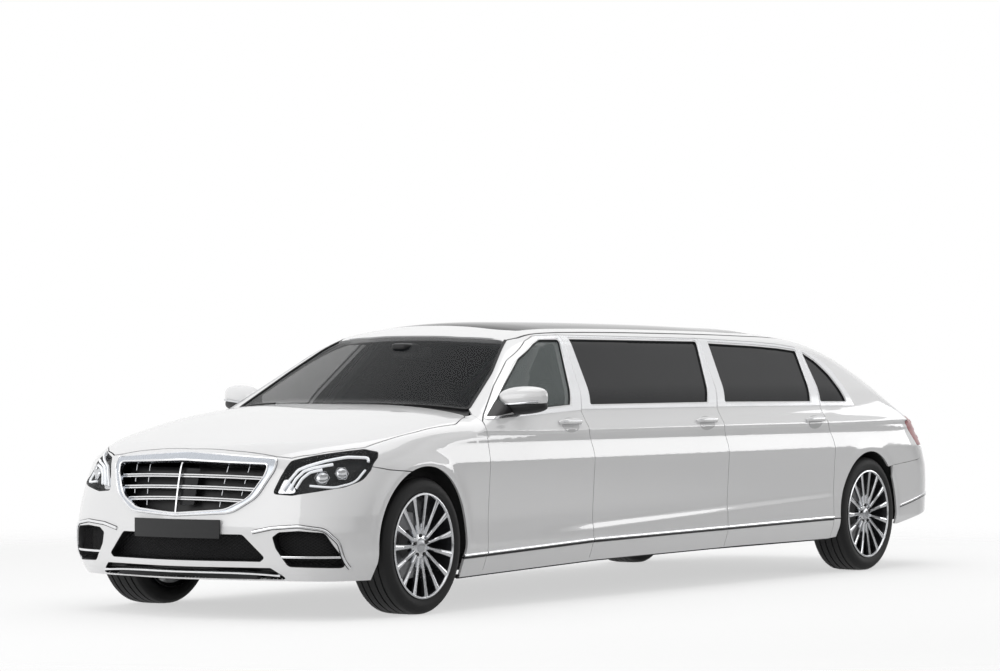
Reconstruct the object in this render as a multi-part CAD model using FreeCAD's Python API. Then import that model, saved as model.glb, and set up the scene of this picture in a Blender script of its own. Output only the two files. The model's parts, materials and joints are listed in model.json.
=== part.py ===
"""Stretch limousine: a six-door saloon with a lengthened cabin, built panel by panel.

Frame: +X points to the nose, +Y to the car's left side, +Z up. The origin lies on the floor, midway along the
car's length and on its centre plane. All lengths are in millimetres.

The outer skin comes from two lofts. The lower body is a loft of cross-sections along X, cut to the plan shape of
the bumpers. The greenhouse is a loft of waterlines along Z under a crowned roof. Each panel is that skin, as thick
as the real panel, cut along its shut lines, and everything below is placed from the axles, the belt and the floor.
"""
import FreeCAD
import Part
import math
import os

V = FreeCAD.Vector

# ---------------------------------------------------------------- driving sizes
LENGTH = 6980.0            # bumper to bumper
HALF_WIDTH = 950.0         # at the crease of the doors
FRONT_OVERHANG = 880.0     # nose to front axle
WHEELBASE = 4900.0
ROOF_HEIGHT = 1522.0
BELT_HEIGHT = 1050.0       # bottom of the side windows
CREASE_HEIGHT = 765.0      # widest line of the body
SILL_TOP = 315.0           # bottom of the doors
FLOOR_HEIGHT = 200.0       # underside of the sills

TRACK_HALF = 815.0         # wheel centre plane to the car's centre plane
TYRE_RADIUS = 352.0
TYRE_WIDTH = 245.0
RIM_RADIUS = 262.0         # where the tyre's bead sits
ARCH_RADIUS = 402.0        # opening in the skin round each wheel
LINER_RADIUS = 462.0       # front wheel housing, clear of a steered wheel
REAR_LINER_RADIUS = 425.0

PANEL_GAP = 6.0            # shut line between two panels
CRUMB = 8000.0             # volume under which a leftover of a cut isn't a piece
DOOR_WALL = 70.0           # skin to trim of a door, below the belt
FRAME_WALL = 38.0          # skin to trim of a window frame and of the roof
SKIN_WALL = 24.0           # wings, bonnet, boot lid and bumpers
LAMP_WALL = 62.0           # depth of the lamps and of the grille frame
GRILLE_WALL = 45.0         # depth of the grille blades
GLASS_INSET = 5.0          # outer skin to the face of the glass
GLASS_WALL = 6.0
SEAT_GAP = 0.3             # clearance of a piece against what carries it
DOOR_EDGE_SLANT = math.tan(math.radians(16.0))  # door edges lean rearwards as they go out, so that a door swings free

NOSE = LENGTH / 2
TAIL = -LENGTH / 2
FRONT_AXLE = NOSE - FRONT_OVERHANG
REAR_AXLE = FRONT_AXLE - WHEELBASE
DOOR_FRONT = FRONT_AXLE - 600.0        # front edge of the front doors

# ---------------------------------------------------------------- tables of the skin
# Lower body sections: x, half width, top of the flat side, height of the deck edge, height of the deck centre.
SECTIONS = [
    (NOSE + 10, 950, 725, 768, 802),
    (NOSE - 150, 950, 745, 818, 854),
    (FRONT_AXLE + 390, 950, 790, 888, 938),
    (FRONT_AXLE, 950, 830, 952, 1018),
    (FRONT_AXLE - 500, 950, 872, 1010, 1066),
    (REAR_AXLE + 460, 950, 885, 1016, 1062),
    (REAR_AXLE, 950, 890, 1022, 1075),
    (REAR_AXLE - 520, 948, 880, 1005, 1066),
    (TAIL + 90, 940, 850, 945, 1000),
    (TAIL - 10, 938, 800, 880, 930),
]
# Plan shape of the bumpers at each height: z, setback of the nose, setback of the tail.
PLAN_LEVELS = [
    (100, 70, 90),
    (210, 40, 60),
    (440, 0, 0),
    (520, 25, 12),
    (840, 100, 60),
    (1100, 175, 120),
]
# Waterlines of the greenhouse: z, half width, front centre, front corner x and y, where the side starts,
# where the side ends, rear corner x and y, rear centre.
WATERLINES = [
    (880, 936, 2445, 2255, 830, 2250, -2540, -3010, 800, -3190),
    (1050, 905, 2120, 1937, 740, 1880, -2340, -2740, 740, -2900),
    (1240, 783, 1750, 1600, 655, 1510, -2120, -2440, 645, -2580),
    (1440, 653, 1350, 1235, 553, 1060, -1860, -1990, 530, -2090),
    (1560, 575, 1110, 1015, 490, 790, -1690, -1790, 465, -1830),
]
# Roof crown: x, height of the centre line.
ROOF_LINE = [
    (2400, 1290), (1500, 1436), (1150, 1490), (800, 1515), (300, ROOF_HEIGHT), (-300, ROOF_HEIGHT - 1),
    (-1200, 1509), (-1700, 1494), (-2050, 1460), (-2400, 1385), (-3000, 1230),
]
INNER_START = 790.0        # an inside of the greenhouse begins lower than its skin
ROOF_CROWN = 0.172         # drop of the roof per half width, as crown * y^2 / 1000


# ---------------------------------------------------------------- drawing helpers
def place(a, b, plane, level):
    """A point from two numbers in a plane: xz at y, xy at z or yz at x."""
    return {"xz": V(a, level, b), "xy": V(a, b, level), "yz": V(level, a, b)}[plane]


def outline(points, plane, level):
    """A closed wire through (a, b) corners; a third number rounds that corner with an arc of that radius."""
    count = len(points)
    ends = []
    for i, corner in enumerate(points):
        here = V(corner[0], corner[1], 0)
        back = V(points[i - 1][0], points[i - 1][1], 0) - here
        on = V(points[(i + 1) % count][0], points[(i + 1) % count][1], 0) - here
        radius = corner[2] if len(corner) > 2 else 0
        if not radius:
            ends.append((here, None, here))
            continue
        half = back.getAngle(on) / 2
        reach = min(radius / math.tan(half), 0.49 * back.Length, 0.49 * on.Length)
        real = reach * math.tan(half)
        back.normalize()
        on.normalize()
        middle = back + on
        middle.normalize()
        top = here + middle * (real / math.sin(half) - real)
        ends.append((here + back * reach, top, here + on * reach))
    flat = []
    for i, (start, top, end) in enumerate(ends):
        following = ends[(i + 1) % count][0]
        if top is not None:
            flat.append(Part.Arc(*(place(p.x, p.y, plane, level) for p in (start, top, end))).toShape())
        if end.distanceToPoint(following) > 1e-6:
            flat.append(Part.LineSegment(place(end.x, end.y, plane, level),
                                         place(following.x, following.y, plane, level)).toShape())
    return Part.Wire(flat)


def prism(points, plane, low, high, slant=0.0):
    """An outline pushed from low to high, square to its plane; slant moves an xz outline along X per unit of Y."""
    wire = outline(points, plane, low)
    depth = high - low
    push = {"xz": V(slant * depth, depth, 0), "xy": V(0, 0, depth), "yz": V(depth, 0, 0)}[plane]
    return Part.Face(wire).extrude(push)


def box(x0, x1, y0, y1, z0, z1):
    """A block between two corners."""
    return Part.makeBox(x1 - x0, y1 - y0, z1 - z0, V(x0, y0, z0))


def tube_y(x, z, y0, y1, radius, bore=0.0):
    """A round bar along Y, bored if asked."""
    bar = Part.makeCylinder(radius, y1 - y0, V(x, y0, z), V(0, 1, 0))
    if bore:
        bar = bar.cut(Part.makeCylinder(bore, y1 - y0 + 2, V(x, y0 - 1, z), V(0, 1, 0)))
    return bar


def mirrored(shape):
    """The same piece on the car's right side."""
    return shape.mirror(V(0, 0, 0), V(0, 1, 0))


def both(shape):
    """A left piece and its mirror image, as two solids."""
    return [shape, mirrored(shape)]


def solids_of(shape):
    """The solids of a cut, without crumbs."""
    return [s for s in shape.Solids if s.Volume > CRUMB]


def save(node, shapes):
    """Writes one node's solids to parts/NODE.step."""
    kept = [s for shape in shapes for s in solids_of(shape)]
    Part.makeCompound(kept).exportStep("parts/%s.step" % node)
    print(node, [round(s.Volume / 1e6, 2) for s in kept], all(s.isValid() for s in kept))


# ---------------------------------------------------------------- the skin
def body_section(x, half_width, side_top, deck_edge, deck_centre, side_inset, top_inset, bottom):
    """One closed cross-section of the lower body, set in by the wall where it is the inside of a panel."""
    w = half_width - side_inset
    side = [(w - 45, bottom), (w - 8, SILL_TOP), (w, CREASE_HEIGHT - 30 if side_top > CREASE_HEIGHT else side_top - 60),
            (w - 10, side_top - top_inset)]
    edge = (w - 150, deck_edge - top_inset)
    bulge = (w - 55, side_top + 0.72 * (deck_edge - side_top) - top_inset)
    left = [V(x, y, z) for y, z in side]
    right = [V(x, -y, z) for y, z in side]
    parts = [Part.LineSegment(a, b).toShape() for a, b in zip(left, left[1:])]
    parts.append(Part.Arc(left[-1], V(x, *bulge), V(x, *edge)).toShape())
    parts.append(Part.Arc(V(x, *edge), V(x, 0, deck_centre - top_inset), V(x, -edge[0], edge[1])).toShape())
    parts.append(Part.Arc(V(x, -edge[0], edge[1]), V(x, -bulge[0], bulge[1]), right[-1]).toShape())
    parts += [Part.LineSegment(b, a).toShape() for a, b in reversed(list(zip(right, right[1:])))]
    parts.append(Part.LineSegment(right[0], left[0]).toShape())
    return Part.Wire(parts)


def plan_section(z, nose_setback, tail_setback, inset):
    """The car seen from above at one height: bowed ends, round corners, straight sides."""
    w = HALF_WIDTH + 20 - inset
    front = NOSE - nose_setback - inset
    back = TAIL + tail_setback + inset
    pts = {"side_front": (front - 590, w), "corner_front": (front - 275, w - 115), "bow_front": (front - 88, w - 345),
           "side_back": (back + 560, w), "corner_back": (back + 265, w - 110), "bow_back": (back + 75, w - 345)}
    left = {k: V(x, y, z) for k, (x, y) in pts.items()}
    right = {k: V(x, -y, z) for k, (x, y) in pts.items()}
    return Part.Wire([
        Part.Arc(right["bow_front"], V(front, 0, z), left["bow_front"]).toShape(),
        Part.Arc(left["bow_front"], left["corner_front"], left["side_front"]).toShape(),
        Part.LineSegment(left["side_front"], left["side_back"]).toShape(),
        Part.Arc(left["side_back"], left["corner_back"], left["bow_back"]).toShape(),
        Part.Arc(left["bow_back"], V(back, 0, z), right["bow_back"]).toShape(),
        Part.Arc(right["bow_back"], right["corner_back"], right["side_back"]).toShape(),
        Part.LineSegment(right["side_back"], right["side_front"]).toShape(),
        Part.Arc(right["side_front"], right["corner_front"], right["bow_front"]).toShape(),
    ])


def lower_body(side_inset, top_inset, end_inset, bottom):
    """The lower body as one solid, set in from the skin by the given walls."""
    sections = [body_section(*row, side_inset, top_inset, bottom) for row in SECTIONS]
    plans = [plan_section(*row, end_inset) for row in PLAN_LEVELS]
    return Part.makeLoft(sections, True, True).common(Part.makeLoft(plans, True, True))


def waterline(z, w, x_fc, x_f, y_f, x_sf, x_sr, x_r, y_r, x_rc, inset):
    """One horizontal section of the greenhouse, set in by the wall."""
    w, y_f, y_r = w - inset, y_f - 0.6 * inset, y_r - 0.6 * inset
    x_fc, x_f, x_sf = x_fc - 1.6 * inset, x_f - 1.6 * inset, x_sf - 0.9 * inset
    x_rc, x_r, x_sr = x_rc + 1.6 * inset, x_r + 1.6 * inset, x_sr + 0.9 * inset

    def arc(a, m, b):
        return Part.Arc(V(*a, z), V(*m, z), V(*b, z)).toShape()

    def rounding(x_end, y_end, x_side):
        """The middle of a corner's arc, pushed out of its chord."""
        return ((x_end + x_side) / 2 + 0.16 * (x_end - x_side), (y_end + w) / 2 + 0.16 * (w - y_end))

    front_left, side_front = (x_f, y_f), (x_sf, w)
    rear_left, side_rear = (x_r, y_r), (x_sr, w)
    bend_f, bend_r = rounding(x_f, y_f, x_sf), rounding(x_r, y_r, x_sr)

    def other(p):
        return (p[0], -p[1])

    return Part.Wire([
        arc(other(front_left), (x_fc, 0), front_left),
        arc(front_left, bend_f, side_front),
        Part.LineSegment(V(*side_front, z), V(*side_rear, z)).toShape(),
        arc(side_rear, bend_r, rear_left),
        arc(rear_left, (x_rc, 0), other(rear_left)),
        arc(other(rear_left), other(bend_r), other(side_rear)),
        Part.LineSegment(V(*other(side_rear), z), V(*other(side_front), z)).toShape(),
        arc(other(side_front), other(bend_f), other(front_left)),
    ])


def roof_section(x, height, inset):
    """A crowned cap, wider than the car, that stops the greenhouse at the roof."""
    reach, base, top = 1100.0, 500.0, height - inset
    edge = top - ROOF_CROWN * reach * reach / 1000.0
    corners = [V(x, reach, edge), V(x, reach, base), V(x, -reach, base), V(x, -reach, edge)]
    lines = [Part.LineSegment(a, b).toShape() for a, b in zip(corners, corners[1:])]
    return Part.Wire([Part.Arc(corners[3], V(x, 0, top), corners[0]).toShape()] + lines)


def greenhouse(inset, top_inset):
    """Cabin above the belt, set in from the skin by the wall."""
    rows = list(WATERLINES)
    if inset:
        drop = (INNER_START - rows[0][0]) / (rows[1][0] - rows[0][0])
        rows.insert(0, tuple(a + drop * (b - a) for a, b in zip(rows[0], rows[1])))
    sides = Part.makeLoft([waterline(*row, inset) for row in rows], True, True)
    cap = Part.makeLoft([roof_section(x, z, top_inset) for x, z in ROOF_LINE], True, True)
    return sides.common(cap)


def side_y(z):
    """Half width of the skin at a height, for drawing door edges as they are seen."""
    rows = [(row[0], row[1]) for row in WATERLINES]
    if z <= rows[0][0]:
        return HALF_WIDTH
    for (z0, y0), (z1, y1) in zip(rows, rows[1:]):
        if z <= z1:
            return y0 + (y1 - y0) * (z - z0) / (z1 - z0)
    return rows[-1][1]


def inset(points, by):
    """An outline with every edge moved inwards by a distance (outwards where it is negative)."""
    count = len(points)
    area = sum(points[i - 1][0] * points[i][1] - points[i][0] * points[i - 1][1] for i in range(count))
    turn = 1.0 if area > 0 else -1.0
    moved = []
    for i, (x, z, *radius) in enumerate(points):
        normals = []
        for a, b in ((points[i - 1], points[i]), (points[i], points[(i + 1) % count])):
            dx, dz = b[0] - a[0], b[1] - a[1]
            size = math.hypot(dx, dz)
            normals.append((-turn * dz / size, turn * dx / size))
        (ax, az), (bx, bz) = normals
        scale = by / (1.0 + ax * bx + az * bz)
        moved.append((x + scale * (ax + bx), z + scale * (az + bz), *radius))
    return moved


def symmetric(half):
    """A closed plan outline from its left half, which starts and ends on the centre line."""
    return half + [(x, -y) for x, y in reversed(half[1:-1])]


# ---------------------------------------------------------------- shut lines, seen from the side
# Each line between two doors: x at the roof, at the belt, below the handle; height of the roof edge there.
POST_LINES = [
    {"roof_x": 848.0, "belt_x": 1040.0, "low_x": 958.0, "roof_z": 1428.0},
    {"roof_x": -652.0, "belt_x": -456.0, "low_x": -530.0, "roof_z": 1420.0},
    {"roof_x": -1818.0, "belt_x": -1716.0, "low_x": -1838.0, "roof_z": 1362.0},
]
DOOR_NAMES = ["front", "middle", "rear"]
FRONT_EDGE = [(DOOR_FRONT, SILL_TOP), (DOOR_FRONT, 860, 400), (2046, 985, 40), (1985, 1043, 60), (1275, 1404, 260)]

# Side windows: corners of the glass seen from the side.
WINDOWS = {
    "front": [(1880, 1062, 20), (1290, 1356, 240), (1085, 1402, 60), (895, 1405, 14), (1076, 1062, 14)],
    "middle": [(998, 1062, 14), (817, 1405, 14), (-606, 1398, 14), (-424, 1062, 14)],
    "rear": [(-502, 1062, 14), (-684, 1396, 14), (-1200, 1376, 60), (-1762, 1336, 14), (-1676, 1062, 14)],
    "quarter": [(-1758, 1062, 12), (-1848, 1322, 12), (-1990, 1225, 120), (-2112, 1062, 12)],
}

# Half outlines seen from above, from the centre line outwards and back to it.
BONNET_HINGE = [(2165, 0), (2120, 450), (2031, 800), (2233, 880), (2600, 871)]
BONNET_NOSE = [(2940, 862), (3235, 720), (3350, 500), (3372, 0)]
BONNET_NOSE_Z = 860.0      # height at which the nose line is drawn
BONNET_SLANT = 0.17        # the bonnet's cut leans forwards, so that its nose rises clear
SCREEN = [(2112, 0), (2060, 430), (1941, 735), (1262, 548), (1345, 300), (1372, 0)]
BACKLIGHT = [(-2110, 0), (-1990, 500), (-2710, 690), (-2890, 0)]
COWL = [(2300, 0), (2300, 805), (1985, 805), (1925, 780), (1800, 600), (1800, 0)]
BOOT_DECK = [(-2945, 0), (-2790, 700), (-2805, 712), (-3240, 705), (-3330, 600), (-3600, 600), (-3600, 0)]
BOOT_CORNER = BOOT_DECK[3:5]
BOOT_REAR_HALF = 600.0     # half width of the lid's rear face
BOOT_BOTTOM = 620.0
BOOT_EXTRA_GAP = 2.0       # the lid's lower corners swing outwards a little as it opens
BOOT_SWING = 14.0
BAY_GAP = 8.0              # what stands under the bonnet stays this far below it
ROOF_HALF = 592.0          # roof panel, to the ditch over the doors
INBOARD = [(2300, 0), (2300, 819), (1960, 799), (1262, 618), (-2000, 618), (-2000, 0)]   # never part of a door
ROOF_GLASS = {"x0": -1560.0, "x1": 985.0, "half": 468.0}

BUMPER_SEAM_FRONT = 2985.0
BUMPER_SEAM_REAR = -2765.0
BUMPER_TOP_REAR = 748.0
REAR_LAMP = [(-3700, 609), (-3350, 609), (-3260, 720), (-3010, 720), (-3010, 1100), (-3700, 1100)]   # seen from above
REAR_LAMP_Z = (752.0, 955.0)
# Faces seen from the front, left half or whole: y, z, rounding.
LAMP_FACE = [(545, 628, 30), (560, 792, 25), (720, 815, 30), (925, 838, 10), (960, 800, 10), (880, 735, 40),
             (745, 655, 40)]
LAMP_BACK = 2955.0
GRILLE_FACE = [(-528, 824, 40), (-470, 585, 60), (-355, 506, 60), (355, 506, 60), (470, 585, 60), (528, 824, 40)]
GRILLE_FRAME = 42.0
GRILLE_BACK = 3310.0
LOUVRES = [700.0, 640.0, 580.0]     # heights of the three blades
LOWER_INTAKE = [(-350, 432, 20), (-470, 310, 30), (470, 310, 30), (350, 432, 20)]
SIDE_VENT = [(565, 416, 15), (767, 450, 20), (862, 268, 20), (692, 269, 20)]

SIDE_LOW, SIDE_HIGH = 300.0, 1100.0    # reach of a prism that cuts the left side
FAR = 600.0                            # moves an outline's edge out of the way


# ---------------------------------------------------------------- cutting prisms
def side_prism(points, slanted=False):
    """A cut through the left side of the car along an outline seen from the side."""
    if not slanted:
        return prism(points, "xz", SIDE_LOW, SIDE_HIGH)
    start = [(p[0] + DOOR_EDGE_SLANT * (side_y(p[1]) - SIDE_LOW), *p[1:]) for p in points]
    return prism(start, "xz", SIDE_LOW, SIDE_HIGH, -DOOR_EDGE_SLANT)


def post_edge(line):
    """A shut line between two doors, from the roof down to the sill."""
    return [(line["roof_x"], line["roof_z"]), (line["belt_x"], BELT_HEIGHT, 40),
            (line["low_x"], 880, 220), (line["low_x"], SILL_TOP)]


def door_cell(index, away_front=0.0, away_rear=0.0):
    """Outline between two shut lines; an away value moves that whole edge far off."""
    edge = FRONT_EDGE if index == 0 else list(reversed(post_edge(POST_LINES[index - 1])))
    rear = post_edge(POST_LINES[index])
    return [(p[0] + away_front, *p[1:]) for p in edge] + [(p[0] - away_rear, *p[1:]) for p in rear]


def door_prism(index, gap):
    """The room a door fills: straight at its hinges, slanted where it must swing free."""
    hinge_side = side_prism(inset(door_cell(index, away_rear=FAR), gap))
    free_side = side_prism(inset(door_cell(index, away_front=FAR), gap), slanted=True)
    return hinge_side.common(free_side).cut(prism(inset(symmetric(INBOARD), -gap), "xy", 0.0, 1700.0))


def door_hole(index):
    """The hole in the skin for a door: its room, widened to the straight shut line on the inside."""
    straight = side_prism(inset(door_cell(index), -PANEL_GAP / 2))
    return straight.cut(prism(inset(symmetric(INBOARD), PANEL_GAP / 2), "xy", 0.0, 1700.0)).fuse(
        door_prism(index, -PANEL_GAP / 2))


def bonnet_prism(gap):
    """The room the bonnet fills: upright at its hinges, leaning forwards at the nose so that it rises clear."""
    low, high = 600.0, 1500.0
    rear = BONNET_HINGE + [(FAR + x, 1.4 * y) for x, y in BONNET_NOSE]
    nose = [(x - 2 * FAR, 1.2 * y) for x, y in BONNET_HINGE] + BONNET_NOSE
    upright = prism(inset(symmetric(rear), gap), "xy", low, high)
    lean = BONNET_SLANT * (BONNET_NOSE_Z - low)
    start = [(x - lean, y) for x, y in inset(symmetric(nose), gap)]
    leaning = Part.Face(outline(start, "xy", low)).extrude(V(BONNET_SLANT * (high - low), 0, high - low))
    return upright.common(leaning)


def boot_prism(gap, swing=0.0):
    """The room the boot lid fills: the deck between the quarters and the rear face between the lamps.

    Swing moves the slanted corners of the deck back, where the lid's edge goes before it has risen clear."""
    corners = [(x - swing if (x, y) in BOOT_CORNER else x, y) for x, y in BOOT_DECK]
    deck = prism(inset(symmetric(corners), gap), "xy", 860.0, 1300.0)
    face = box(-3700, -3150, -BOOT_REAR_HALF + gap, BOOT_REAR_HALF - gap, BOOT_BOTTOM + gap, 1300)
    return deck.fuse(face)


def rear_lamp_prism(gap):
    """The room of the left tail light, on the corner."""
    return prism(inset(REAR_LAMP, gap), "xy", REAR_LAMP_Z[0] + gap, REAR_LAMP_Z[1] - gap)


def shell(outer, inner):
    """What is left between two skins."""
    return outer.cut(inner)


def build_skins():
    """The skins that the panels are cut from, and the rooms inside them."""
    low, top = lower_body(0, 0, 0, FLOOR_HEIGHT), greenhouse(0, 0)
    body = low.fuse(top)
    frame_inner = greenhouse(FRAME_WALL, FRAME_WALL)
    glass_outer = greenhouse(GLASS_INSET, GLASS_INSET)
    glass_wall = GLASS_INSET + GLASS_WALL

    def room(wall):
        return lower_body(wall, wall, wall, 50.0)

    skins = {
        "body": body,
        "skin": shell(body, room(SKIN_WALL).fuse(frame_inner)),
        "door": shell(body, room(DOOR_WALL).fuse(frame_inner)),
        "lamp": shell(low, room(LAMP_WALL)),
        "recess": shell(room(10.0), room(GRILLE_WALL)),
        "glass": shell(glass_outer, greenhouse(glass_wall, glass_wall)),
        "room": room(SKIN_WALL + SEAT_GAP),
        "bay": lower_body(SKIN_WALL + SEAT_GAP, SKIN_WALL + BAY_GAP, SKIN_WALL + SEAT_GAP, 50.0),
        "floor_room": room(DOOR_WALL + SEAT_GAP),
        "cap": Part.makeLoft([roof_section(x, z, FRAME_WALL + SEAT_GAP) for x, z in ROOF_LINE], True, True),
    }
    for name, solid in skins.items():
        print("skin", name, solid.isValid(), len(solid.Solids), round(solid.Volume / 1e9, 4))
    return skins


# ---------------------------------------------------------------- outer panels
def add_doors(skins):
    """Six doors with their window frames, and their glass."""
    nodes = {}
    for index, name in enumerate(DOOR_NAMES):
        body = skins["door"].common(door_prism(index, PANEL_GAP / 2)).cut(side_prism(WINDOWS[name]))
        pane = skins["glass"].common(side_prism(inset(WINDOWS[name], SEAT_GAP)))
        for side, turn in (("left", lambda s: s), ("right", mirrored)):
            nodes["%s_door_%s" % (name, side)] = [turn(s) for s in solids_of(body)]
            nodes["%s_door_glass_%s" % (name, side)] = [turn(s) for s in solids_of(pane)]
    return nodes


def pair(shape):
    """Each real solid of a left-hand cut and its mirror image."""
    return [s for one in solids_of(shape) for s in both(one)]


def add_panels(skins):
    """Everything cut from the outer skin except the doors: each cell is taken from what is left."""
    nodes = {}
    rest = skins["skin"]
    screen, backlight = symmetric(SCREEN), symmetric(BACKLIGHT)
    roof_glass = [ROOF_GLASS["x0"], ROOF_GLASS["x1"], -ROOF_GLASS["half"], ROOF_GLASS["half"], 1300, 1700]
    shrink = [SEAT_GAP, -SEAT_GAP, SEAT_GAP, -SEAT_GAP, 0, 0]
    left_holes = [door_hole(i) for i in range(len(DOOR_NAMES))]
    left_holes += [side_prism(WINDOWS["quarter"]), prism(LAMP_FACE, "yz", LAMP_BACK, NOSE + 50),
                   prism(SIDE_VENT, "yz", 3000.0, NOSE + 50), rear_lamp_prism(0.0)]
    left_holes += [tube_y(x, TYRE_RADIUS, 500.0, 1100.0, ARCH_RADIUS) for x in (FRONT_AXLE, REAR_AXLE)]
    holes = [h for hole in left_holes for h in both(hole)]
    holes += [prism(screen, "xy", 900.0, 1700.0), prism(backlight, "xy", 900.0, 1700.0), box(*roof_glass),
              prism(GRILLE_FACE, "yz", 3000.0, NOSE + 50), prism(LOWER_INTAKE, "yz", 3000.0, NOSE + 50)]
    over_grille = prism(inset(GRILLE_FACE, -PANEL_GAP), "yz", GRILLE_BACK - 60, NOSE + 50)
    nodes["bonnet"] = [rest.common(bonnet_prism(PANEL_GAP / 2)).cut(over_grille)]
    nodes["boot_lid"] = [rest.common(boot_prism(PANEL_GAP / 2))]
    holes += [bonnet_prism(-PANEL_GAP / 2), boot_prism(-PANEL_GAP / 2 - BOOT_EXTRA_GAP, BOOT_SWING)]
    for hole in holes:
        rest = rest.cut(hole)
    sill_edge = SILL_TOP - PANEL_GAP / 2
    sill_zone = box(POST_LINES[2]["low_x"], DOOR_FRONT, -1100, 1100, 0, sill_edge)
    nodes["sills"] = [skins["door"].common(sill_zone)]
    cells = [
        ("front_bumper", box(BUMPER_SEAM_FRONT, NOSE + 50, -1100, 1100, 0, 1100)),
        ("sills_hole", box(POST_LINES[2]["low_x"] - SEAT_GAP, DOOR_FRONT + SEAT_GAP, -1100, 1100, 0, sill_edge)),
        ("windscreen_cowl", prism(symmetric(COWL), "xy", 860.0, 1400.0)),
        ("front_fenders", box(DOOR_FRONT - 60, BUMPER_SEAM_FRONT - SEAT_GAP, -1100, 1100, 0, 1100)),
        ("roof", box(-2400, 1500, -ROOF_HALF, ROOF_HALF, 1150, 1700)),
        ("rear_bumper", box(TAIL - 50, BUMPER_SEAM_REAR, -1100, 1100, 0, BUMPER_TOP_REAR)),
        ("rear_quarter_panels", box(TAIL - 50, POST_LINES[2]["roof_x"], -1100, 1100, 0, 1700)),
        ("side_frames", box(POST_LINES[2]["roof_x"] + SEAT_GAP, 2300, -1100, 1100, 700, 1700)),
    ]
    for name, cell in cells:
        if name != "sills_hole":
            nodes[name] = [rest.common(cell)]
        rest = rest.cut(cell)
    pane = skins["glass"]
    nodes["windscreen"] = [pane.common(prism(inset(screen, SEAT_GAP), "xy", 900.0, 1700.0))]
    quarter = pane.common(side_prism(inset(WINDOWS["quarter"], SEAT_GAP)))
    nodes["rear_windows"] = [pane.common(prism(inset(backlight, SEAT_GAP), "xy", 900.0, 1700.0))] + pair(quarter)
    nodes["roof_glass"] = [pane.common(box(*(a + b for a, b in zip(roof_glass, shrink))))]
    lamp_cell = prism(inset(LAMP_FACE, SEAT_GAP), "yz", LAMP_BACK + SEAT_GAP, NOSE + 50)
    nodes["headlights"] = pair(skins["lamp"].common(lamp_cell).cut(bonnet_prism(-PANEL_GAP / 2)))
    nodes["tail_lights"] = pair(skins["lamp"].common(rear_lamp_prism(SEAT_GAP)))
    return nodes


def add_grille(skins):
    """The frame of the radiator grille and its blades, set in the front bumper."""
    depth = (GRILLE_BACK, NOSE + 50)
    ring = prism(inset(GRILLE_FACE, SEAT_GAP), "yz", *depth).cut(prism(inset(GRILLE_FACE, GRILLE_FRAME), "yz", *depth))
    opening = prism(inset(GRILLE_FACE, GRILLE_FRAME + SEAT_GAP), "yz", *depth)
    bars = [box(*depth, -600, 600, z - 9, z + 9) for z in LOUVRES] + [box(*depth, -11, 11, 500, 830)]
    blades = bars[0].multiFuse(bars[1:]).common(opening)
    frame = skins["lamp"].common(ring).cut(bonnet_prism(-PANEL_GAP / 2))
    return {"radiator_grille": [frame, skins["recess"].common(blades)]}


# ---------------------------------------------------------------- running gear
KINGPIN_Y = 735.0          # steering axis of a front wheel
STUD_RADIUS = 9.0
STUB_RADIUS = 24.0         # stub axle in the wheel's hub
PIN_CLEARANCE = 0.4
HUB_RADIUS = 75.0
SPOKES = 15
DISC_RADIUS = 172.0        # brake disc
DISC_Y = (775.0, 800.0)
FLOOR = (FLOOR_HEIGHT + 5, FLOOR_HEIGHT + 35)      # underside and top of the floor pan
REST = FLOOR[1] + SEAT_GAP                         # height of what stands on the floor
UPRIGHT = {"x": 25.0, "y0": 716.0, "y1": 756.0, "z0": 271.0, "z1": 451.0}
ARM = {"x": 16.0, "low": (246.0, 270.0), "high": (452.0, 474.0), "tower_y": 430.0}
CALIPER = {"x0": 95.0, "x1": 180.0, "z": 60.0, "y0": 763.0, "y1": 812.0, "slot": 5.5}
LINER_WALL = 8.0
FIREWALL_X = FRONT_AXLE - LINER_RADIUS - 30.0      # front face to the cabin side
BULKHEAD_X = REAR_AXLE + REAR_LINER_RADIUS + 40.0  # behind the rear seat
BONNET_STAND_Y = (560.0, 620.0)                    # the firewall rises to the bonnet here, beside its hinges
SHELF_HEIGHT = 960.0
SHELF_END = -2790.0
ENGINE_BLOCK = (2240, 2900, -300, 300, 300 + SEAT_GAP, 830)
RADIATOR_BLOCK = (3180, 3230, -430, 430, REST, 740)
SILENCER = (-3240, -2840, -540, 540, REST, 400)
BOOT_FLOOR = 470.0


def along_y(radius, y0, y1, x=0.0, z=0.0):
    """A solid bar along Y."""
    return Part.makeCylinder(radius, y1 - y0, V(x, y0, z), V(0, 1, 0))


def wheel_shapes(x):
    """Rim, hub and spokes as one casting, and the brake disc, for the left wheel at an axle."""
    y_mid = TRACK_HALF
    half = TYRE_WIDTH / 2 - 8
    barrel = along_y(RIM_RADIUS, y_mid - half, y_mid + half).cut(along_y(RIM_RADIUS - 12, y_mid - half - 1,
                                                                         y_mid + half + 1))
    face = along_y(RIM_RADIUS - 6, y_mid + 78, y_mid + 106)
    windows = []
    for i in range(SPOKES):
        middle = 2 * math.pi * (i + 0.5) / SPOKES
        corners = [(88, -0.09), (236, -0.16), (236, 0.16), (88, 0.09)]
        points = [(r * math.cos(middle + a), r * math.sin(middle + a), 6) for r, a in corners]
        windows.append(prism(points, "xz", y_mid + 70, y_mid + 115))
    face = face.cut(Part.makeCompound(windows))
    hub = along_y(HUB_RADIUS, DISC_Y[1] + SEAT_GAP, y_mid + 90)
    bore = along_y(STUB_RADIUS + PIN_CLEARANCE, 600, y_mid + 70)
    casting = barrel.fuse(face).fuse(hub).cut(bore)
    disc = along_y(DISC_RADIUS, *DISC_Y).cut(along_y(STUB_RADIUS + 6, 700, 900))
    move = V(x, 0, TYRE_RADIUS)
    return [casting.translated(move), disc.translated(move)]


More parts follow.
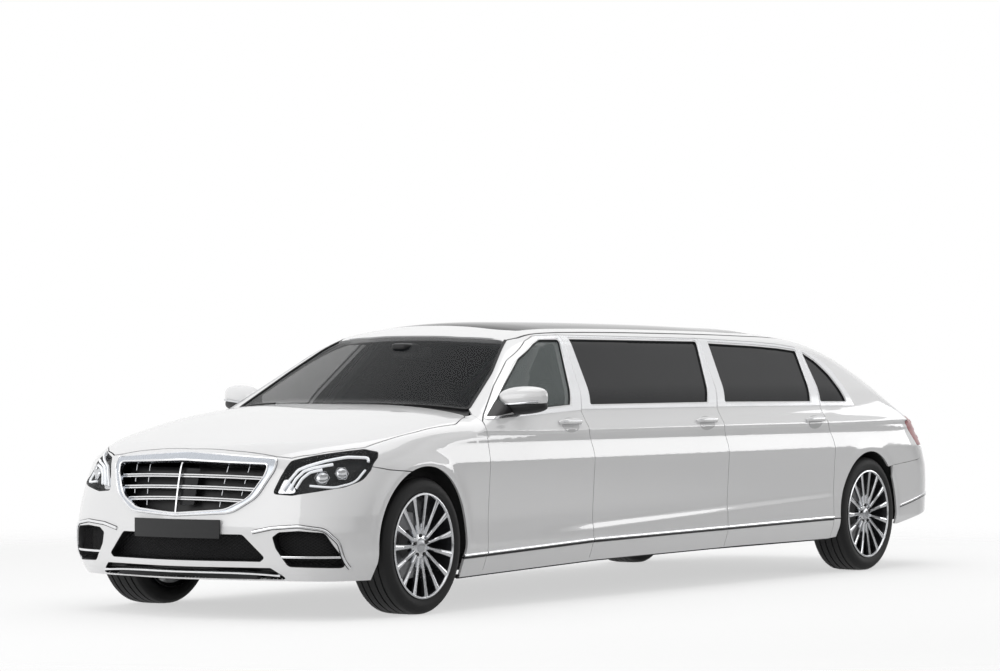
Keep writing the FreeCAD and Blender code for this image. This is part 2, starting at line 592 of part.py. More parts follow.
def tyre_shape(x):
    """The left tyre at an axle, a ring with rounded shoulders."""
    r0, r1, w = RIM_RADIUS + SEAT_GAP, TYRE_RADIUS, TYRE_WIDTH / 2
    rounded = [(r0, -w + 18), (r0 + 22, -w, 18), (r1 - 18, -w, 16), (r1, -w + 24, 24),
               (r1, w - 24, 24), (r1 - 18, w, 16), (r0 + 22, w, 18), (r0, w - 18)]
    ring = Part.Face(outline(rounded, "xy", 0.0)).revolve(V(0, 0, 0), V(0, 1, 0), 360)
    return ring.translated(V(x, TRACK_HALF, TYRE_RADIUS))


def hub_carrier(x, caliper_side):
    """The left upright with its stub axle and brake caliper; the caliper is in front (+1) or behind (-1)."""
    z = TYRE_RADIUS
    block = box(x - UPRIGHT["x"], x + UPRIGHT["x"], UPRIGHT["y0"], UPRIGHT["y1"], UPRIGHT["z0"], UPRIGHT["z1"])
    stub = along_y(STUB_RADIUS, UPRIGHT["y1"] - 5, TRACK_HALF + 65, x, z)
    reach = sorted((x + caliper_side * CALIPER["x0"], x + caliper_side * CALIPER["x1"]))
    caliper = box(*reach, CALIPER["y0"], CALIPER["y1"], z - CALIPER["z"], z + CALIPER["z"])
    slot = along_y(DISC_RADIUS + CALIPER["slot"], DISC_Y[0] - CALIPER["slot"], DISC_Y[1] + CALIPER["slot"], x, z)
    bracket_x = sorted((x + caliper_side * (UPRIGHT["x"] - 5), x + caliper_side * (CALIPER["x0"] + 30)))
    bracket = box(*bracket_x, UPRIGHT["y0"] + 14, DISC_Y[0] - CALIPER["slot"], z - 25, z + 25)
    return block.fuse(stub).fuse(caliper.cut(slot)).fuse(bracket)


def add_wheels():
    """Tyres, wheels and front knuckles."""
    nodes = {}
    for end, x in (("front", FRONT_AXLE), ("rear", REAR_AXLE)):
        wheel, tyre = wheel_shapes(x), tyre_shape(x)
        nodes["%s_wheel_left" % end], nodes["%s_tyre_left" % end] = wheel, [tyre]
        nodes["%s_wheel_right" % end] = [mirrored(s) for s in wheel]
        nodes["%s_tyre_right" % end] = [mirrored(tyre)]
    knuckle = hub_carrier(FRONT_AXLE, -1)
    for arm in ("low", "high"):
        z = ARM[arm][0] - 21
        knuckle = knuckle.cut(Part.makeCylinder(STUD_RADIUS + PIN_CLEARANCE, 66, V(FRONT_AXLE, KINGPIN_Y, z)))
    nodes["front_knuckle_left"], nodes["front_knuckle_right"] = [knuckle], [mirrored(knuckle)]
    return nodes


def add_chassis(skins):
    """Floor, bulkheads, wheel housings, axles, engine and exhaust."""
    nodes = {}
    floor = skins["floor_room"].common(box(BULKHEAD_X - 20, FRONT_AXLE - LINER_RADIUS - 2, -1000, 1000, *FLOOR))
    nose_tray = skins["room"].common(box(FRONT_AXLE - LINER_RADIUS - 3, NOSE, -440, 440, *FLOOR))
    nodes["floor_pan"] = [floor.fuse(nose_tray)]
    boot_floor = skins["room"].common(box(TAIL, BULKHEAD_X - 20 - SEAT_GAP, -628, 628, BOOT_FLOOR, BOOT_FLOOR + 20))
    tray = skins["room"].common(box(TAIL, BUMPER_SEAM_REAR, -1000, 1000, *FLOOR))
    nodes["boot_floor"] = [boot_floor, tray]
    room = skins["room"]
    firewall = skins["bay"].common(box(FIREWALL_X, FIREWALL_X + 20, -1000, 1000, REST, 1100))
    for stand in both(box(FIREWALL_X, FIREWALL_X + 20, *BONNET_STAND_Y, REST, 1100)):
        firewall = firewall.fuse(room.common(stand))
    wall = skins["floor_room"].common(box(BULKHEAD_X - 20, BULKHEAD_X, -1000, 1000, REST, SHELF_HEIGHT + 20))
    shelf = room.common(box(SHELF_END, BULKHEAD_X - 20 - SEAT_GAP, -1000, 1000, SHELF_HEIGHT, SHELF_HEIGHT + 20))
    nodes["bulkheads"] = [firewall, wall, shelf]
    liners = []
    for x, inner, radius in ((FRONT_AXLE, 470.0, LINER_RADIUS), (REAR_AXLE, 632.0, REAR_LINER_RADIUS)):
        z = TYRE_RADIUS
        drum = along_y(radius + LINER_WALL, inner, 1000, x, z)
        drum = drum.cut(along_y(radius, inner + LINER_WALL, 1001, x, z))
        drum = drum.cut(box(x - 70, x + 70, inner - 1, inner + LINER_WALL + 1, 0, 500))
        drum = drum.cut(box(x - 600, x + 600, 0, 1100, 0, REST + 1))
        liners += pair(skins["room"].common(drum))
    nodes["wheel_liners"] = liners
    x = FRONT_AXLE
    axle = box(x - 70, x + 70, -ARM["tower_y"] - 30, ARM["tower_y"] + 30, REST, 300)
    for side in (1, -1):
        y = sorted((side * ARM["tower_y"], side * (ARM["tower_y"] + 30)))
        axle = axle.fuse(box(x - 30, x + 30, *y, REST, ARM["high"][1]))
        for arm in ("low", "high"):
            reach = sorted((side * (ARM["tower_y"] + 10), side * KINGPIN_Y))
            axle = axle.fuse(box(x - ARM["x"], x + ARM["x"], *reach, *ARM[arm]))
            axle = axle.fuse(Part.makeCylinder(ARM["x"], ARM[arm][1] - ARM[arm][0], V(x, side * KINGPIN_Y, ARM[arm][0])))
        axle = axle.fuse(Part.makeCylinder(STUD_RADIUS, 28, V(x, side * KINGPIN_Y, ARM["low"][1] - 10)))
        axle = axle.fuse(Part.makeCylinder(STUD_RADIUS, 28, V(x, side * KINGPIN_Y, ARM["high"][0] - 18)))
    nodes["front_axle"] = [axle]
    x = REAR_AXLE
    rear = box(x - 90, x + 90, -130, 130, 262, BOOT_FLOOR - SEAT_GAP).fuse(along_y(18, -720, 720, x, TYRE_RADIUS))
    carrier = hub_carrier(x, 1)
    link = box(x - 20, x + 20, 120, 720, 286, 306)
    for piece in both(carrier) + both(link):
        rear = rear.fuse(piece)
    nodes["rear_axle"] = [rear]
    nodes["engine"] = [box(*ENGINE_BLOCK), box(*RADIATOR_BLOCK)]
    nodes["exhaust"] = [box(*SILENCER)]
    return nodes


# ---------------------------------------------------------------- cabin fittings
SEATS = {"front": (880.0, 385.0, 520.0), "middle": (-330.0, 385.0, 520.0)}    # back of cushion, centre, width
BENCH = {"x": -1560.0, "half": 700.0}
SEAT_PROFILE = [(510, 0), (520, 200, 50), (480, 245, 40), (60, 215, 30), (-130, 820, 40), (-230, 800, 40),
                (-60, 150), (-40, 0)]
HEADREST = [(-135, 800), (-150, 1000, 40), (-225, 990, 40), (-235, 790)]
DASH = [(1590, 560), (1570, 860, 60), (1660, 950, 60), (2040, 985, 40), (FIREWALL_X - SEAT_GAP, 970),
        (FIREWALL_X - SEAT_GAP, 560)]
STEERING = {"x": 1500.0, "y": 375.0, "z": 905.0, "tilt": 24.0, "radius": 182.0, "tube": 15.0, "hub": 48.0}
POST_HALF = 32.0
POST_FACE = [(838, REST), (862, 330), (862, 870), (826, 1050), (608, 1380), (560, 1500), (510, 1500), (560, 1380),
             (780, 1050), (815, 870), (815, 330), (795, REST)]
LATCH_Z = (640.0, 700.0)


def seat(x, y, width):
    """One seat: cushion, back and headrest in one profile."""
    body = prism([(x + p[0], REST + p[1], *p[2:]) for p in SEAT_PROFILE], "xz", y - width / 2, y + width / 2)
    rest = prism([(x + p[0], REST + p[1], *p[2:]) for p in HEADREST], "xz", y - 135, y + 135)
    return body.fuse(rest)


def steering_shape():
    """The steering wheel on its column axis, and the column that carries it."""
    ring = Part.makeTorus(STEERING["radius"], STEERING["tube"])
    hub = Part.makeCylinder(STEERING["hub"], 40, V(0, 0, -30))
    arms = [Part.makeBox(STEERING["radius"], 34, 14, V(0, -17, -14)) for _ in range(3)]
    for arm, turn in zip(arms, (0, 90, 270)):
        arm.rotate(V(0, 0, 0), V(0, 0, 1), turn)
    wheel = ring.fuse(hub).fuse(arms[0]).fuse(arms[1]).fuse(arms[2])
    wheel = wheel.cut(Part.makeCylinder(12 + PIN_CLEARANCE, 30, V(0, 0, -31)))
    shaft = Part.makeCylinder(12, 100, V(0, 0, -110)).fuse(Part.makeCylinder(34, 330, V(0, 0, -365)))
    shaft = shaft.fuse(Part.makeCylinder(12, 25, V(0, 0, -33)))
    placed = []
    for piece in (wheel, shaft):
        piece = piece.copy()
        piece.rotate(V(0, 0, 0), V(0, 1, 0), -(90 - STEERING["tilt"]))
        piece.translate(V(STEERING["x"], STEERING["y"], STEERING["z"]))
        placed.append(piece)
    return placed


def add_cabin(skins):
    """Seats, dashboard, steering wheel and the posts between the doors."""
    nodes = {"front_seats": [], "rear_seats": []}
    for row, (x, y, width) in SEATS.items():
        nodes["front_seats" if row == "front" else "rear_seats"] += both(seat(x, y, width))
    bench = seat(BENCH["x"], 0.0, 2 * BENCH["half"])
    for y in (-420, 420):
        bench = bench.fuse(prism([(BENCH["x"] + p[0], REST + p[1], *p[2:]) for p in HEADREST], "xz", y - 135, y + 135))
    nodes["rear_seats"].append(bench)
    wheel, column = steering_shape()
    dash = skins["bay"].common(prism(DASH, "xz", -770, 770)).fuse(column.cut(box(1900, 2300, -1000, 1000, 0, 2000)))
    nodes["dashboard"] = [dash]
    nodes["steering_wheel"] = [wheel]
    posts, latches = [], []
    for line in POST_LINES[:2]:
        rows = [(line["roof_x"] - 30, 1500), (line["belt_x"], BELT_HEIGHT), (line["low_x"], 870), (line["low_x"], REST)]
        band = [(x + POST_HALF, z) for x, z in rows] + [(x - POST_HALF, z) for x, z in reversed(rows)]
        post = side_prism(band).common(prism(POST_FACE, "yz", -2000, 2000)).common(skins["cap"])
        posts += pair(post)
        latch = skins["floor_room"].common(box(line["low_x"] + 6, line["low_x"] + 30, 862 + SEAT_GAP, 1000, *LATCH_Z))
        latches += pair(latch)
    latch = box(BULKHEAD_X + SEAT_GAP, BULKHEAD_X + 50, 820, 1000, *LATCH_Z)
    latches += pair(skins["floor_room"].common(latch))
    nodes["door_posts"] = posts
    boot_latch = skins["room"].common(box(TAIL, -3330, -40, 40, BOOT_FLOOR + 20 + SEAT_GAP, 700))
    nodes["latches"] = latches + [boot_latch]
    return nodes


def add_mirrors(skins):
    """Door mirrors: a head on an arm that stands on the front door's belt."""
    head = prism([(1560, 1030, 30), (1560, 1160, 45), (1790, 1168, 60), (1850, 1110, 60), (1800, 1022, 40)],
                 "xz", 925.0, 1065.0)
    arm = box(1690, 1790, 860.0, 935.0, 1034, 1060)
    piece = head.fuse(arm).cut(skins["body"])
    return {"door_mirror_left": [piece], "door_mirror_right": [mirrored(piece)]}


def main():
    """Writes every node."""
    os.makedirs("parts", exist_ok=True)
    skins = build_skins()
    nodes = {}
    for group in (add_doors(skins), add_panels(skins), add_grille(skins), add_wheels(), add_chassis(skins),
                  add_cabin(skins), add_mirrors(skins)):
        nodes.update(group)
    for name, shapes in nodes.items():
        save(name, shapes)


if __name__ == "__main__":
    main()
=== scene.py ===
"""Looks of the stretch limousine: painted panels, glass, bright trim, lamps, wheels and cabin.

Metres, +X to the nose, +Y to the car's left, +Z up, the same frame as the construction. The outer skin is one
smooth field, negative inside the car; every panel is a piece of that skin between its own shut lines.
"""

import json
import logging
import math
from dataclasses import dataclass, field
from enum import Enum

import bpy
import numpy as np
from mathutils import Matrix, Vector, geometry

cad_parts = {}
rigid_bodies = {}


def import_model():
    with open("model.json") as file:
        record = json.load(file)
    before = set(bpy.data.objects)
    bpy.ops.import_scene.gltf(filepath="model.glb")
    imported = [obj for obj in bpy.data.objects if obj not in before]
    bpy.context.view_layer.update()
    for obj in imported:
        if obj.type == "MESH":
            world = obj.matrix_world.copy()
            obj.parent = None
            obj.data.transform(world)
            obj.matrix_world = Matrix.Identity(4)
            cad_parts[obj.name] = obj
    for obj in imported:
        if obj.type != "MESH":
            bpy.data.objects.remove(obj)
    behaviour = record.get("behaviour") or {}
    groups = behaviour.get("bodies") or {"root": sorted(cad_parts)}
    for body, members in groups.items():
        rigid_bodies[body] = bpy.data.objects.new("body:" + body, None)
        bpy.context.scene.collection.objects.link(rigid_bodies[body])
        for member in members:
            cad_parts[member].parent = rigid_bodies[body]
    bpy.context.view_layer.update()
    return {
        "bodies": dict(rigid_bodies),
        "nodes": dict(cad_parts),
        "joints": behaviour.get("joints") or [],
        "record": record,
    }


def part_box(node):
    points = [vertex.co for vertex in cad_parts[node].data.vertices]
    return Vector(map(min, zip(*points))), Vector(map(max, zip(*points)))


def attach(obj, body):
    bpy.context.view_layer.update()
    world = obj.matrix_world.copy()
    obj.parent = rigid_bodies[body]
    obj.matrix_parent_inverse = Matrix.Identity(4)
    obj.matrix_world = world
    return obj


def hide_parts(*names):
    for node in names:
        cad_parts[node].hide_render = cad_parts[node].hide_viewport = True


Array = np.ndarray
Points = list[tuple[float, ...]]
LOG = logging.getLogger("limousine")
AHEAD, OUTWARDS, UP = np.eye(3)                 # unit vectors along X, Y and Z
MIRROR = np.array([1., -1., 1.])                # carries the car's left side to its right
BOTH_SIDES = (np.ones(3), MIRROR)
WHEEL_X, WHEEL_Y, WHEEL_Z = (2.61, -2.29), .815, .352      # front and rear axle, middle of the tyre, its centre
BELT = 1.05                                     # height at which the cabin stands on the body


# ------------------------------------------------------------------------------------------------ small maths
def knots(xs: list[float], ys: list[float], x: Array) -> Array:
    """Smooth curve through (xs, ys): cubic Hermite pieces with averaged slopes, straight beyond the ends."""
    kx, ky = np.asarray(xs, float), np.asarray(ys, float)
    step = np.diff(kx)
    slope = np.diff(ky) / step
    m = np.empty_like(ky)
    m[1:-1] = (slope[:-1] * step[1:] + slope[1:] * step[:-1]) / (step[1:] + step[:-1])
    m[0], m[-1] = slope[0], slope[-1]
    k = np.clip(np.searchsorted(kx, x) - 1, 0, len(step) - 1)
    t = (x - kx[k]) / step[k]
    t2, t3 = t * t, t * t * t
    inner = ((2 * t3 - 3 * t2 + 1) * ky[k] + (t3 - 2 * t2 + t) * step[k] * m[k]
             + (3 * t2 - 2 * t3) * ky[k + 1] + (t3 - t2) * step[k] * m[k + 1])
    low, high = ky[0] + m[0] * (x - kx[0]), ky[-1] + m[-1] * (x - kx[-1])
    return np.where(x < kx[0], low, np.where(x > kx[-1], high, inner))


def soft(v: Array, d: float) -> Array:
    """A ramp that is 0 below v = 0 and v above it, rounded over the distance d."""
    return d * np.logaddexp(0.0, v / d)


def blend_max(a: Array, b: Array, r: float) -> Array:
    """The larger of two fields, with the edge between them rounded to radius r: hypot(a + r, b + r) - r there."""
    near = (a + r > 0) & (b + r > 0)
    return np.where(near, np.hypot(np.maximum(a + r, 0), np.maximum(b + r, 0)) - r, np.maximum(a, b))


def unit(v: Array) -> Array:
    """Vectors scaled to length one."""
    return v / np.maximum(np.linalg.norm(v, axis=-1, keepdims=True), 1e-12)


def signed(v: Array, power: float) -> Array:
    """The size of v to a power, with the sign of v."""
    return np.sign(v) * np.abs(v) ** power


def around(n: int) -> Array:
    """n even angles round a circle."""
    return np.linspace(0, 2 * math.pi, n, endpoint=False)


def flipped(points: Points) -> Points:
    """Corners mirrored in their second coordinate."""
    return [(p[0], -p[1], *p[2:]) for p in points]


def rounded(points: Points, step: float = 0.02, closed: bool = True) -> Array:
    """Walks round a polygon in even steps.

    Args:
        points: Corners (a, b) or (a, b, r); r rounds that corner with an arc of that radius.
        step: Distance between samples.
        closed: Whether the last corner joins the first.

    Returns:
        The samples as an (N, 2) array, without the first point repeated.
    """
    n = len(points)
    parts: list[Array] = []
    for i, corner in enumerate(points):
        here = np.array(corner[:2], float)
        if not closed and i in (0, n - 1):
            parts.append(here[None])
            continue
        back = np.array(points[i - 1][:2], float) - here
        on = np.array(points[(i + 1) % n][:2], float) - here
        r = corner[2] if len(corner) > 2 else 0.0
        if not r:
            parts.append(here[None])
            continue
        lb, lo = np.linalg.norm(back), np.linalg.norm(on)
        half = 0.5 * math.acos(float(np.clip(back @ on / lb / lo, -1, 1)))
        reach = min(r / math.tan(half), 0.49 * lb, 0.49 * lo)
        s = np.linspace(0, 1, max(4, int(reach * 2 / step) + 3))[:, None]
        a, b = here + back / lb * reach, here + on / lo * reach
        parts.append((1 - s) ** 2 * a + 2 * s * (1 - s) * here + s ** 2 * b)
    line = np.vstack(parts)
    following = np.roll(line, -1, 0) if closed else line[1:]
    start = line if closed else line[:-1]
    out = [a + (b - a) * np.linspace(0, 1, max(1, int(np.linalg.norm(b - a) / step + 0.5)) + 1)[:-1, None]
           for a, b in zip(start, following)]
    return np.vstack(out if closed else out + [line[-1:]])


def inside(poly: Array, p: Array) -> Array:
    """Which points lie inside a closed polygon, by counting the edges that a ray crosses."""
    a, b = poly[None], np.roll(poly, -1, 0)[None]
    x, y = p[:, :1], p[:, 1:]
    hit = (a[..., 1] > y) != (b[..., 1] > y)
    rise = np.where(b[..., 1] == a[..., 1], 1.0, b[..., 1] - a[..., 1])
    return (hit & (x < a[..., 0] + (y - a[..., 1]) * (b[..., 0] - a[..., 0]) / rise)).sum(1) % 2 == 1


# ------------------------------------------------------------------------------------------------ the skin
class Skin:
    """Outer shape of the car as a field: the body below the belt joined to the cabin above it."""

    DECK = ([-3.6, -3.45, -3.2, -2.9, -2.6, -2.2, 1.9, 2.257, 2.525, 2.723, 2.918, 3.134, 3.36, 3.6],
            [.955, .985, 1.030, 1.062, 1.078, 1.085, 1.075, 1.063, 1.032, .996, .955, .906, .852, .775])
    ROOF = ([-3.0, -2.6, -2.2, -1.99, -1.7, -1.2, -.3, .3, .6, .9, 1.05, 1.2, 1.5, 2.0],
            [1.26, 1.365, 1.442, 1.473, 1.500, 1.514, 1.524, 1.525, 1.523, 1.517, 1.508, 1.490, 1.445, 1.36])
    NOSE = ([.10, .19, .25, .35, .44, .52, .63, .72, .80, .88, 1.0],
            [.14, .06, .02, .005, 0., .010, .028, .048, .072, .105, .20],
            [5.5, 5.5, 5.5, 5.5, 5.5, 5.3, 4.7, 4.2, 3.8, 3.3, 2.7])
    TAIL = ([.10, .20, .25, .32, .44, .53, .63, .735, .85, .984, 1.08],
            [.25, .16, .10, .04, .012, 0., .0, .006, .032, .080, .15],
            [3.8, 3.9, 4.1, 4.3, 4.3, 4.2, 4.0, 3.5, 3.0, 2.6, 2.3])
    BACK = ([.90, 1.05, 1.15, 1.24, 1.36, 1.44, 1.55], [-3.15, -2.93, -2.79, -2.63, -2.37, -2.15, -1.82])

    BOW = .12       # the middle of the nose stands this far before its corners

    ARCHES = ((WHEEL_X[0], .392, .408), (WHEEL_X[1], .376, .388))    # x, half width, height above the wheel centre

    @staticmethod
    def ledge(x: Array) -> Array:
        """Height of the ledge low on the doors, which rises to the rear."""
        return .407 + (1.135 - x) * .0324

    @classmethod
    def half_width(cls, x: Array, z: Array) -> Array:
        """Half width by height: straight bands that meet at the creases, a ledge that rises to the rear, and a lip
        that swells round each wheel opening."""
        low = cls.ledge(x)
        fade = np.clip((1.55 - x) / .6, 0, 1) * np.clip((x + 1.98) / .2, 0, 1)
        w = .893 + .34 * (z - .205) + (-.34 - .03) * soft(z - .31, .012)
        w = w - fade * .17 * (soft(z - low + .034, .003) - soft(z - low, .005))
        for (x0, a, b), size in zip(cls.ARCHES, (.010, .007)):
            ring = np.hypot((x - x0) / a, (z - WHEEL_Z) / b)
            w = w + size * np.exp(-((ring - 1.04) / .10) ** 2) * np.clip((z - .22) / .12, 0, 1)
        w = w + .09 * soft(z - .46, .03) - .20 * soft(z - .765, .005)
        w = w + .145 * soft(z - .868, .005) - .26 * soft(z - .925, .005) - .08 * soft(z - 1.0, .012)
        return w

    @classmethod
    def lower(cls, x: Array, y: Array, z: Array) -> Array:
        """Body below the belt: super-elliptic ends in plan, a crowned deck, one rounded shoulder."""
        w = cls.half_width(x, z)
        zf, sf, pf = cls.NOSE
        zr, sr, pr = cls.TAIL
        bow = cls.BOW * np.exp(-(y / .42) ** 2)
        front, rear = 1.09 - cls.BOW - knots(zf, sf, z), 1.04 - knots(zr, sr, z)
        p = np.where(x > 0, np.interp(z, zf, pf), np.interp(z, zr, pr))
        c = np.where(x > 0, np.maximum(x - 2.4 - bow * np.clip(x - 2.4, 0, 1), 0) / front,
                     np.maximum(-2.45 - x, 0) / rear)
        side = ((c ** p + (y / w) ** p) ** (1 / p) - 1) * w
        deck = z - (knots(*cls.DECK, x) - .14 * y ** 3.4)
        return blend_max(side, deck, .085)

    @classmethod
    def cabin(cls, x: Array, y: Array, z: Array) -> Array:
        """Cabin above the belt: leaning sides, bowed windscreen and backlight, crowned roof."""
        u = z - BELT
        side = (y - (.912 - .685 * u)) * .825
        screen = (x - (2.12 - 1.95 * u - (.355 + .17 * u) * y ** 2.2)) * .456
        back = (knots(*cls.BACK, z) + (.31 + .24 * u) * y ** 2.2 - x) * .47
        walls = blend_max(blend_max(side, screen, .07), back, .10)
        walls = blend_max(walls, y - cls.half_width(x, z), .012)
        roof = z - (knots(*cls.ROOF, x) - .172 * y * y)
        return np.maximum(blend_max(walls, roof, .05), .93 - z)

    @classmethod
    def field(cls, p: Array) -> Array:
        """Signed distance, near enough: negative inside the car."""
        x, y, z = p[:, 0], np.abs(p[:, 1]), p[:, 2]
        return -blend_max(-cls.lower(x, y, z), -cls.cabin(x, y, z), .03)

    @classmethod
    def hit(cls, start: Array, way: Array, reach: float = 1.6) -> Array:
        """Where rays that start inside leave the car: twenty halvings of each ray's interval."""
        near, far = np.zeros(len(start)), np.full(len(start), reach)
        for _ in range(20):
            mid = (near + far) / 2
            within = cls.field(start + way * mid[:, None]) < 0
            near, far = np.where(within, mid, near), np.where(within, far, mid)
        return start + way * ((near + far) / 2)[:, None]

    @classmethod
    def normal(cls, p: Array) -> Array:
        """Outward normals from central differences of the field over 2 mm."""
        e = np.eye(3) * .002
        return unit(np.stack([cls.field(p + d) - cls.field(p - d) for d in e], 1))


class View(Enum):
    """The side from which an outline is drawn."""

    SIDE = "side"      # (x, z), car's left
    PLAN = "plan"      # (x, y)
    FRONT = "front"    # (y, z)
    REAR = "rear"      # (y, z)


SIDE, PLAN, FRONT, REAR = View


def on_skin(view: View, ab: Array) -> Array:
    """Points of the skin seen at (a, b) from a view.

    Args:
        view: Where the outline is drawn.
        ab: (N, 2) coordinates in that view.

    Returns:
        (N, 3) points on the skin.
    """
    a, b, o = ab[:, 0], ab[:, 1], np.zeros(len(ab))
    if view is SIDE:
        return Skin.hit(np.stack([a, o + .2, b], 1), np.array([[0., 1., 0.]]))
    if view is PLAN:
        return Skin.hit(np.stack([a, b, o + .7], 1), np.array([[0., 0., 1.]]))
    way = 1. if view is FRONT else -1.
    return Skin.hit(np.stack([o + 2.5 * way, a, b], 1), np.array([[way, 0., 0.]]))


class Kind(Enum):
    """What the two parameters of a chart are, with the metres of skin per unit of each, roughly."""

    PLAN = (1., 1.)      # x, y
    ROLL = (1., .60)     # x, angle round a line along X
    TURN = (.90, 1.)     # angle round an upright axis, z


def seen(view: View, a: Array | float, b: Array | float) -> Array:
    """Points of the skin seen at a and b from a view, either of which may be one number for all."""
    return on_skin(view, np.stack(np.broadcast_arrays(*np.atleast_1d(a, b)), 1))


@dataclass(frozen=True)
class Chart:
    """Two parameters that cover a part of the skin, by rays from inside the car.

    A roll turns round the line y0, z0. A turn goes round the axis at x0 and counts its angle from the nose, or from
    the tail where flip is -1.
    """

    kind: Kind
    y0: float = .30
    z0: float = .75
    x0: float = 2.55
    flip: float = 1.

    def place(self, uv: Array) -> Array:
        """Points of the skin for parameters."""
        u, v, o = uv[:, 0], uv[:, 1], np.zeros(len(uv))
        if self.kind is Kind.PLAN:
            return on_skin(PLAN, uv)
        if self.kind is Kind.ROLL:
            start = np.stack([u, o + self.y0, o + self.z0], 1)
            return Skin.hit(start, np.stack([o, np.cos(v), np.sin(v)], 1))
        start = np.stack([o + self.x0 * self.flip, o, v], 1)
        return Skin.hit(start, np.stack([self.flip * np.cos(u), np.sin(u), o], 1))

    def read(self, p: Array) -> Array:
        """Parameters of points on the skin."""
        x, y, z = p.T
        if self.kind is Kind.PLAN:
            return np.stack([x, y], 1)
        if self.kind is Kind.ROLL:
            return np.stack([x, np.arctan2(z - self.z0, y - self.y0)], 1)
        return np.stack([np.arctan2(y, self.flip * (x - self.x0 * self.flip)), z], 1)

    @property
    def scale(self) -> Array:
        """Metres of skin per unit of each parameter, roughly."""
        return np.array(self.kind.value)


# The car's side, its top, its front and its back.
ROUND, ABOVE, NOSE, TAIL = Chart(Kind.ROLL), Chart(Kind.PLAN), Chart(Kind.TURN), Chart(Kind.TURN, flip=-1.)


# ------------------------------------------------------------------------------------------------ meshes
@dataclass
class Shell:
    """A mesh being built: vertices, faces and, where they are known, a normal for each face corner."""

    verts: Array
    faces: list[Array]
    normals: Array | None = None

    def mirrored(self) -> "Shell":
        """The same piece on the car's right side, with its faces turned so that they still point outwards."""
        faces = [f[:, ::-1] for f in self.faces]
        normals = None
        if self.normals is not None:
            rows, at = [], 0
            for f in self.faces:
                block = self.normals[at:at + f.size].reshape(len(f), f.shape[1], 3)
                rows.append(block[:, ::-1].reshape(-1, 3) * MIRROR)
                at += f.size
            normals = np.vstack(rows)
        return Shell(self.verts * MIRROR, faces, normals)

    def moved(self, by: tuple[float, float, float]) -> "Shell":
        """The same piece, shifted."""
        return Shell(self.verts + np.array(by), self.faces, self.normals)


def joined(shells: list[Shell]) -> Shell:
    """Several shells as one mesh; stored normals are kept only where every shell has them."""
    verts, faces, at = [], [], 0
    for s in shells:
        verts.append(s.verts)
        faces += [f + at for f in s.faces]
        at += len(s.verts)
    kept = all(s.normals is not None for s in shells)
    return Shell(np.vstack(verts), faces, np.vstack([s.normals for s in shells]) if kept else None)


def grid(u: Array, closed_u: bool = False, closed_v: bool = False) -> Shell:
    """Quads over an (nu, nv, 3) array of points; closed joins the last row or column to the first."""
    nu, nv = u.shape[:2]
    i = np.arange(nu if closed_u else nu - 1)[:, None]
    j = np.arange(nv if closed_v else nv - 1)[None]
    a, b = i * nv + j, i * nv + (j + 1) % nv
    c, d = ((i + 1) % nu) * nv + (j + 1) % nv, ((i + 1) % nu) * nv + j
    return Shell(u.reshape(-1, 3), [np.stack([a, b, c, d], -1).reshape(-1, 4)])


def fan(n: int, start: int, middle: int, flip: bool) -> Array:
    """Triangles that close a ring of n vertices, numbered from start, towards one middle vertex."""
    a = start + np.arange(n)
    b = start + (np.arange(n) + 1) % n
    m = np.full(n, middle)
    return np.stack([b, a, m] if flip else [a, b, m], 1)


def capped(rings: Array, turned: bool = False, mids: Array | None = None) -> Shell:
    """A tube through rings of points, its two ends closed towards a middle point each.

    Args:
        rings: (n, m, 3) points, one closed ring in each row.
        turned: Whether the faces are wound the other way.
        mids: The two middle points; by default the means of the end rings.

    Returns:
        The closed shell.
    """
    n, m = rings.shape[:2]
    tube = grid(rings, closed_v=True)
    walls = [f[:, ::-1] for f in tube.faces] if turned else tube.faces
    mids = np.stack([rings[0].mean(0), rings[-1].mean(0)]) if mids is None else mids
    ends = [fan(m, 0, n * m, not turned), fan(m, (n - 1) * m, n * m + 1, turned)]
    return Shell(np.vstack([tube.verts, mids]), walls + ends)


def lathe(profile: Points, turns: int = 64, step: float = 0.0, ends: bool = True) -> Shell:
    """A profile of (radius, y) turned round the Y axis: (r cos t, y, r sin t).

    Args:
        profile: Corners of the profile, optionally with a rounding radius, from its inner end to its outer end.
        turns: Steps round the axis.
        step: Sample distance where corners are rounded; 0 keeps the corners.
        ends: Whether the profile's ends, where they lie off the axis, join each other.

    Returns:
        The closed shell.
    """
    line = rounded(profile, step, closed=ends) if step else np.array([p[:2] for p in profile], float)
    t = around(turns)[:, None]
    r, y = line[:, 0][None], line[:, 1][None]
    pts = np.stack([r * np.cos(t), y + 0 * t, r * np.sin(t)], -1)
    return grid(pts, closed_u=True, closed_v=ends)


def sweep(path: Array, up: Array, profile: Array, closed: bool = False) -> Shell:
    """A closed profile (across, up) carried along a path: point = path + across * side + up * normal.

    Args:
        path: (N, 3) points.
        up: (N, 3) normals along the path, or one normal for all of it.
        profile: (M, 2) cross-section, or (N, M, 2) where it changes along the path.
        closed: Whether the path closes; else its ends are capped.

    Returns:
        The closed shell.
    """
    if closed:
        along = unit(np.roll(path, -1, 0) - np.roll(path, 1, 0))
    else:
        along = unit(np.gradient(path, axis=0))
    up = unit(up - (up * along).sum(1, keepdims=True) * along)
    side = np.cross(along, up)
    prof = np.broadcast_to(profile, (len(path), *profile.shape[-2:]))
    pts = path[:, None] + prof[..., :1] * side[:, None] + prof[..., 1:] * up[:, None]
    return grid(pts, closed_u=True, closed_v=True) if closed else capped(pts)


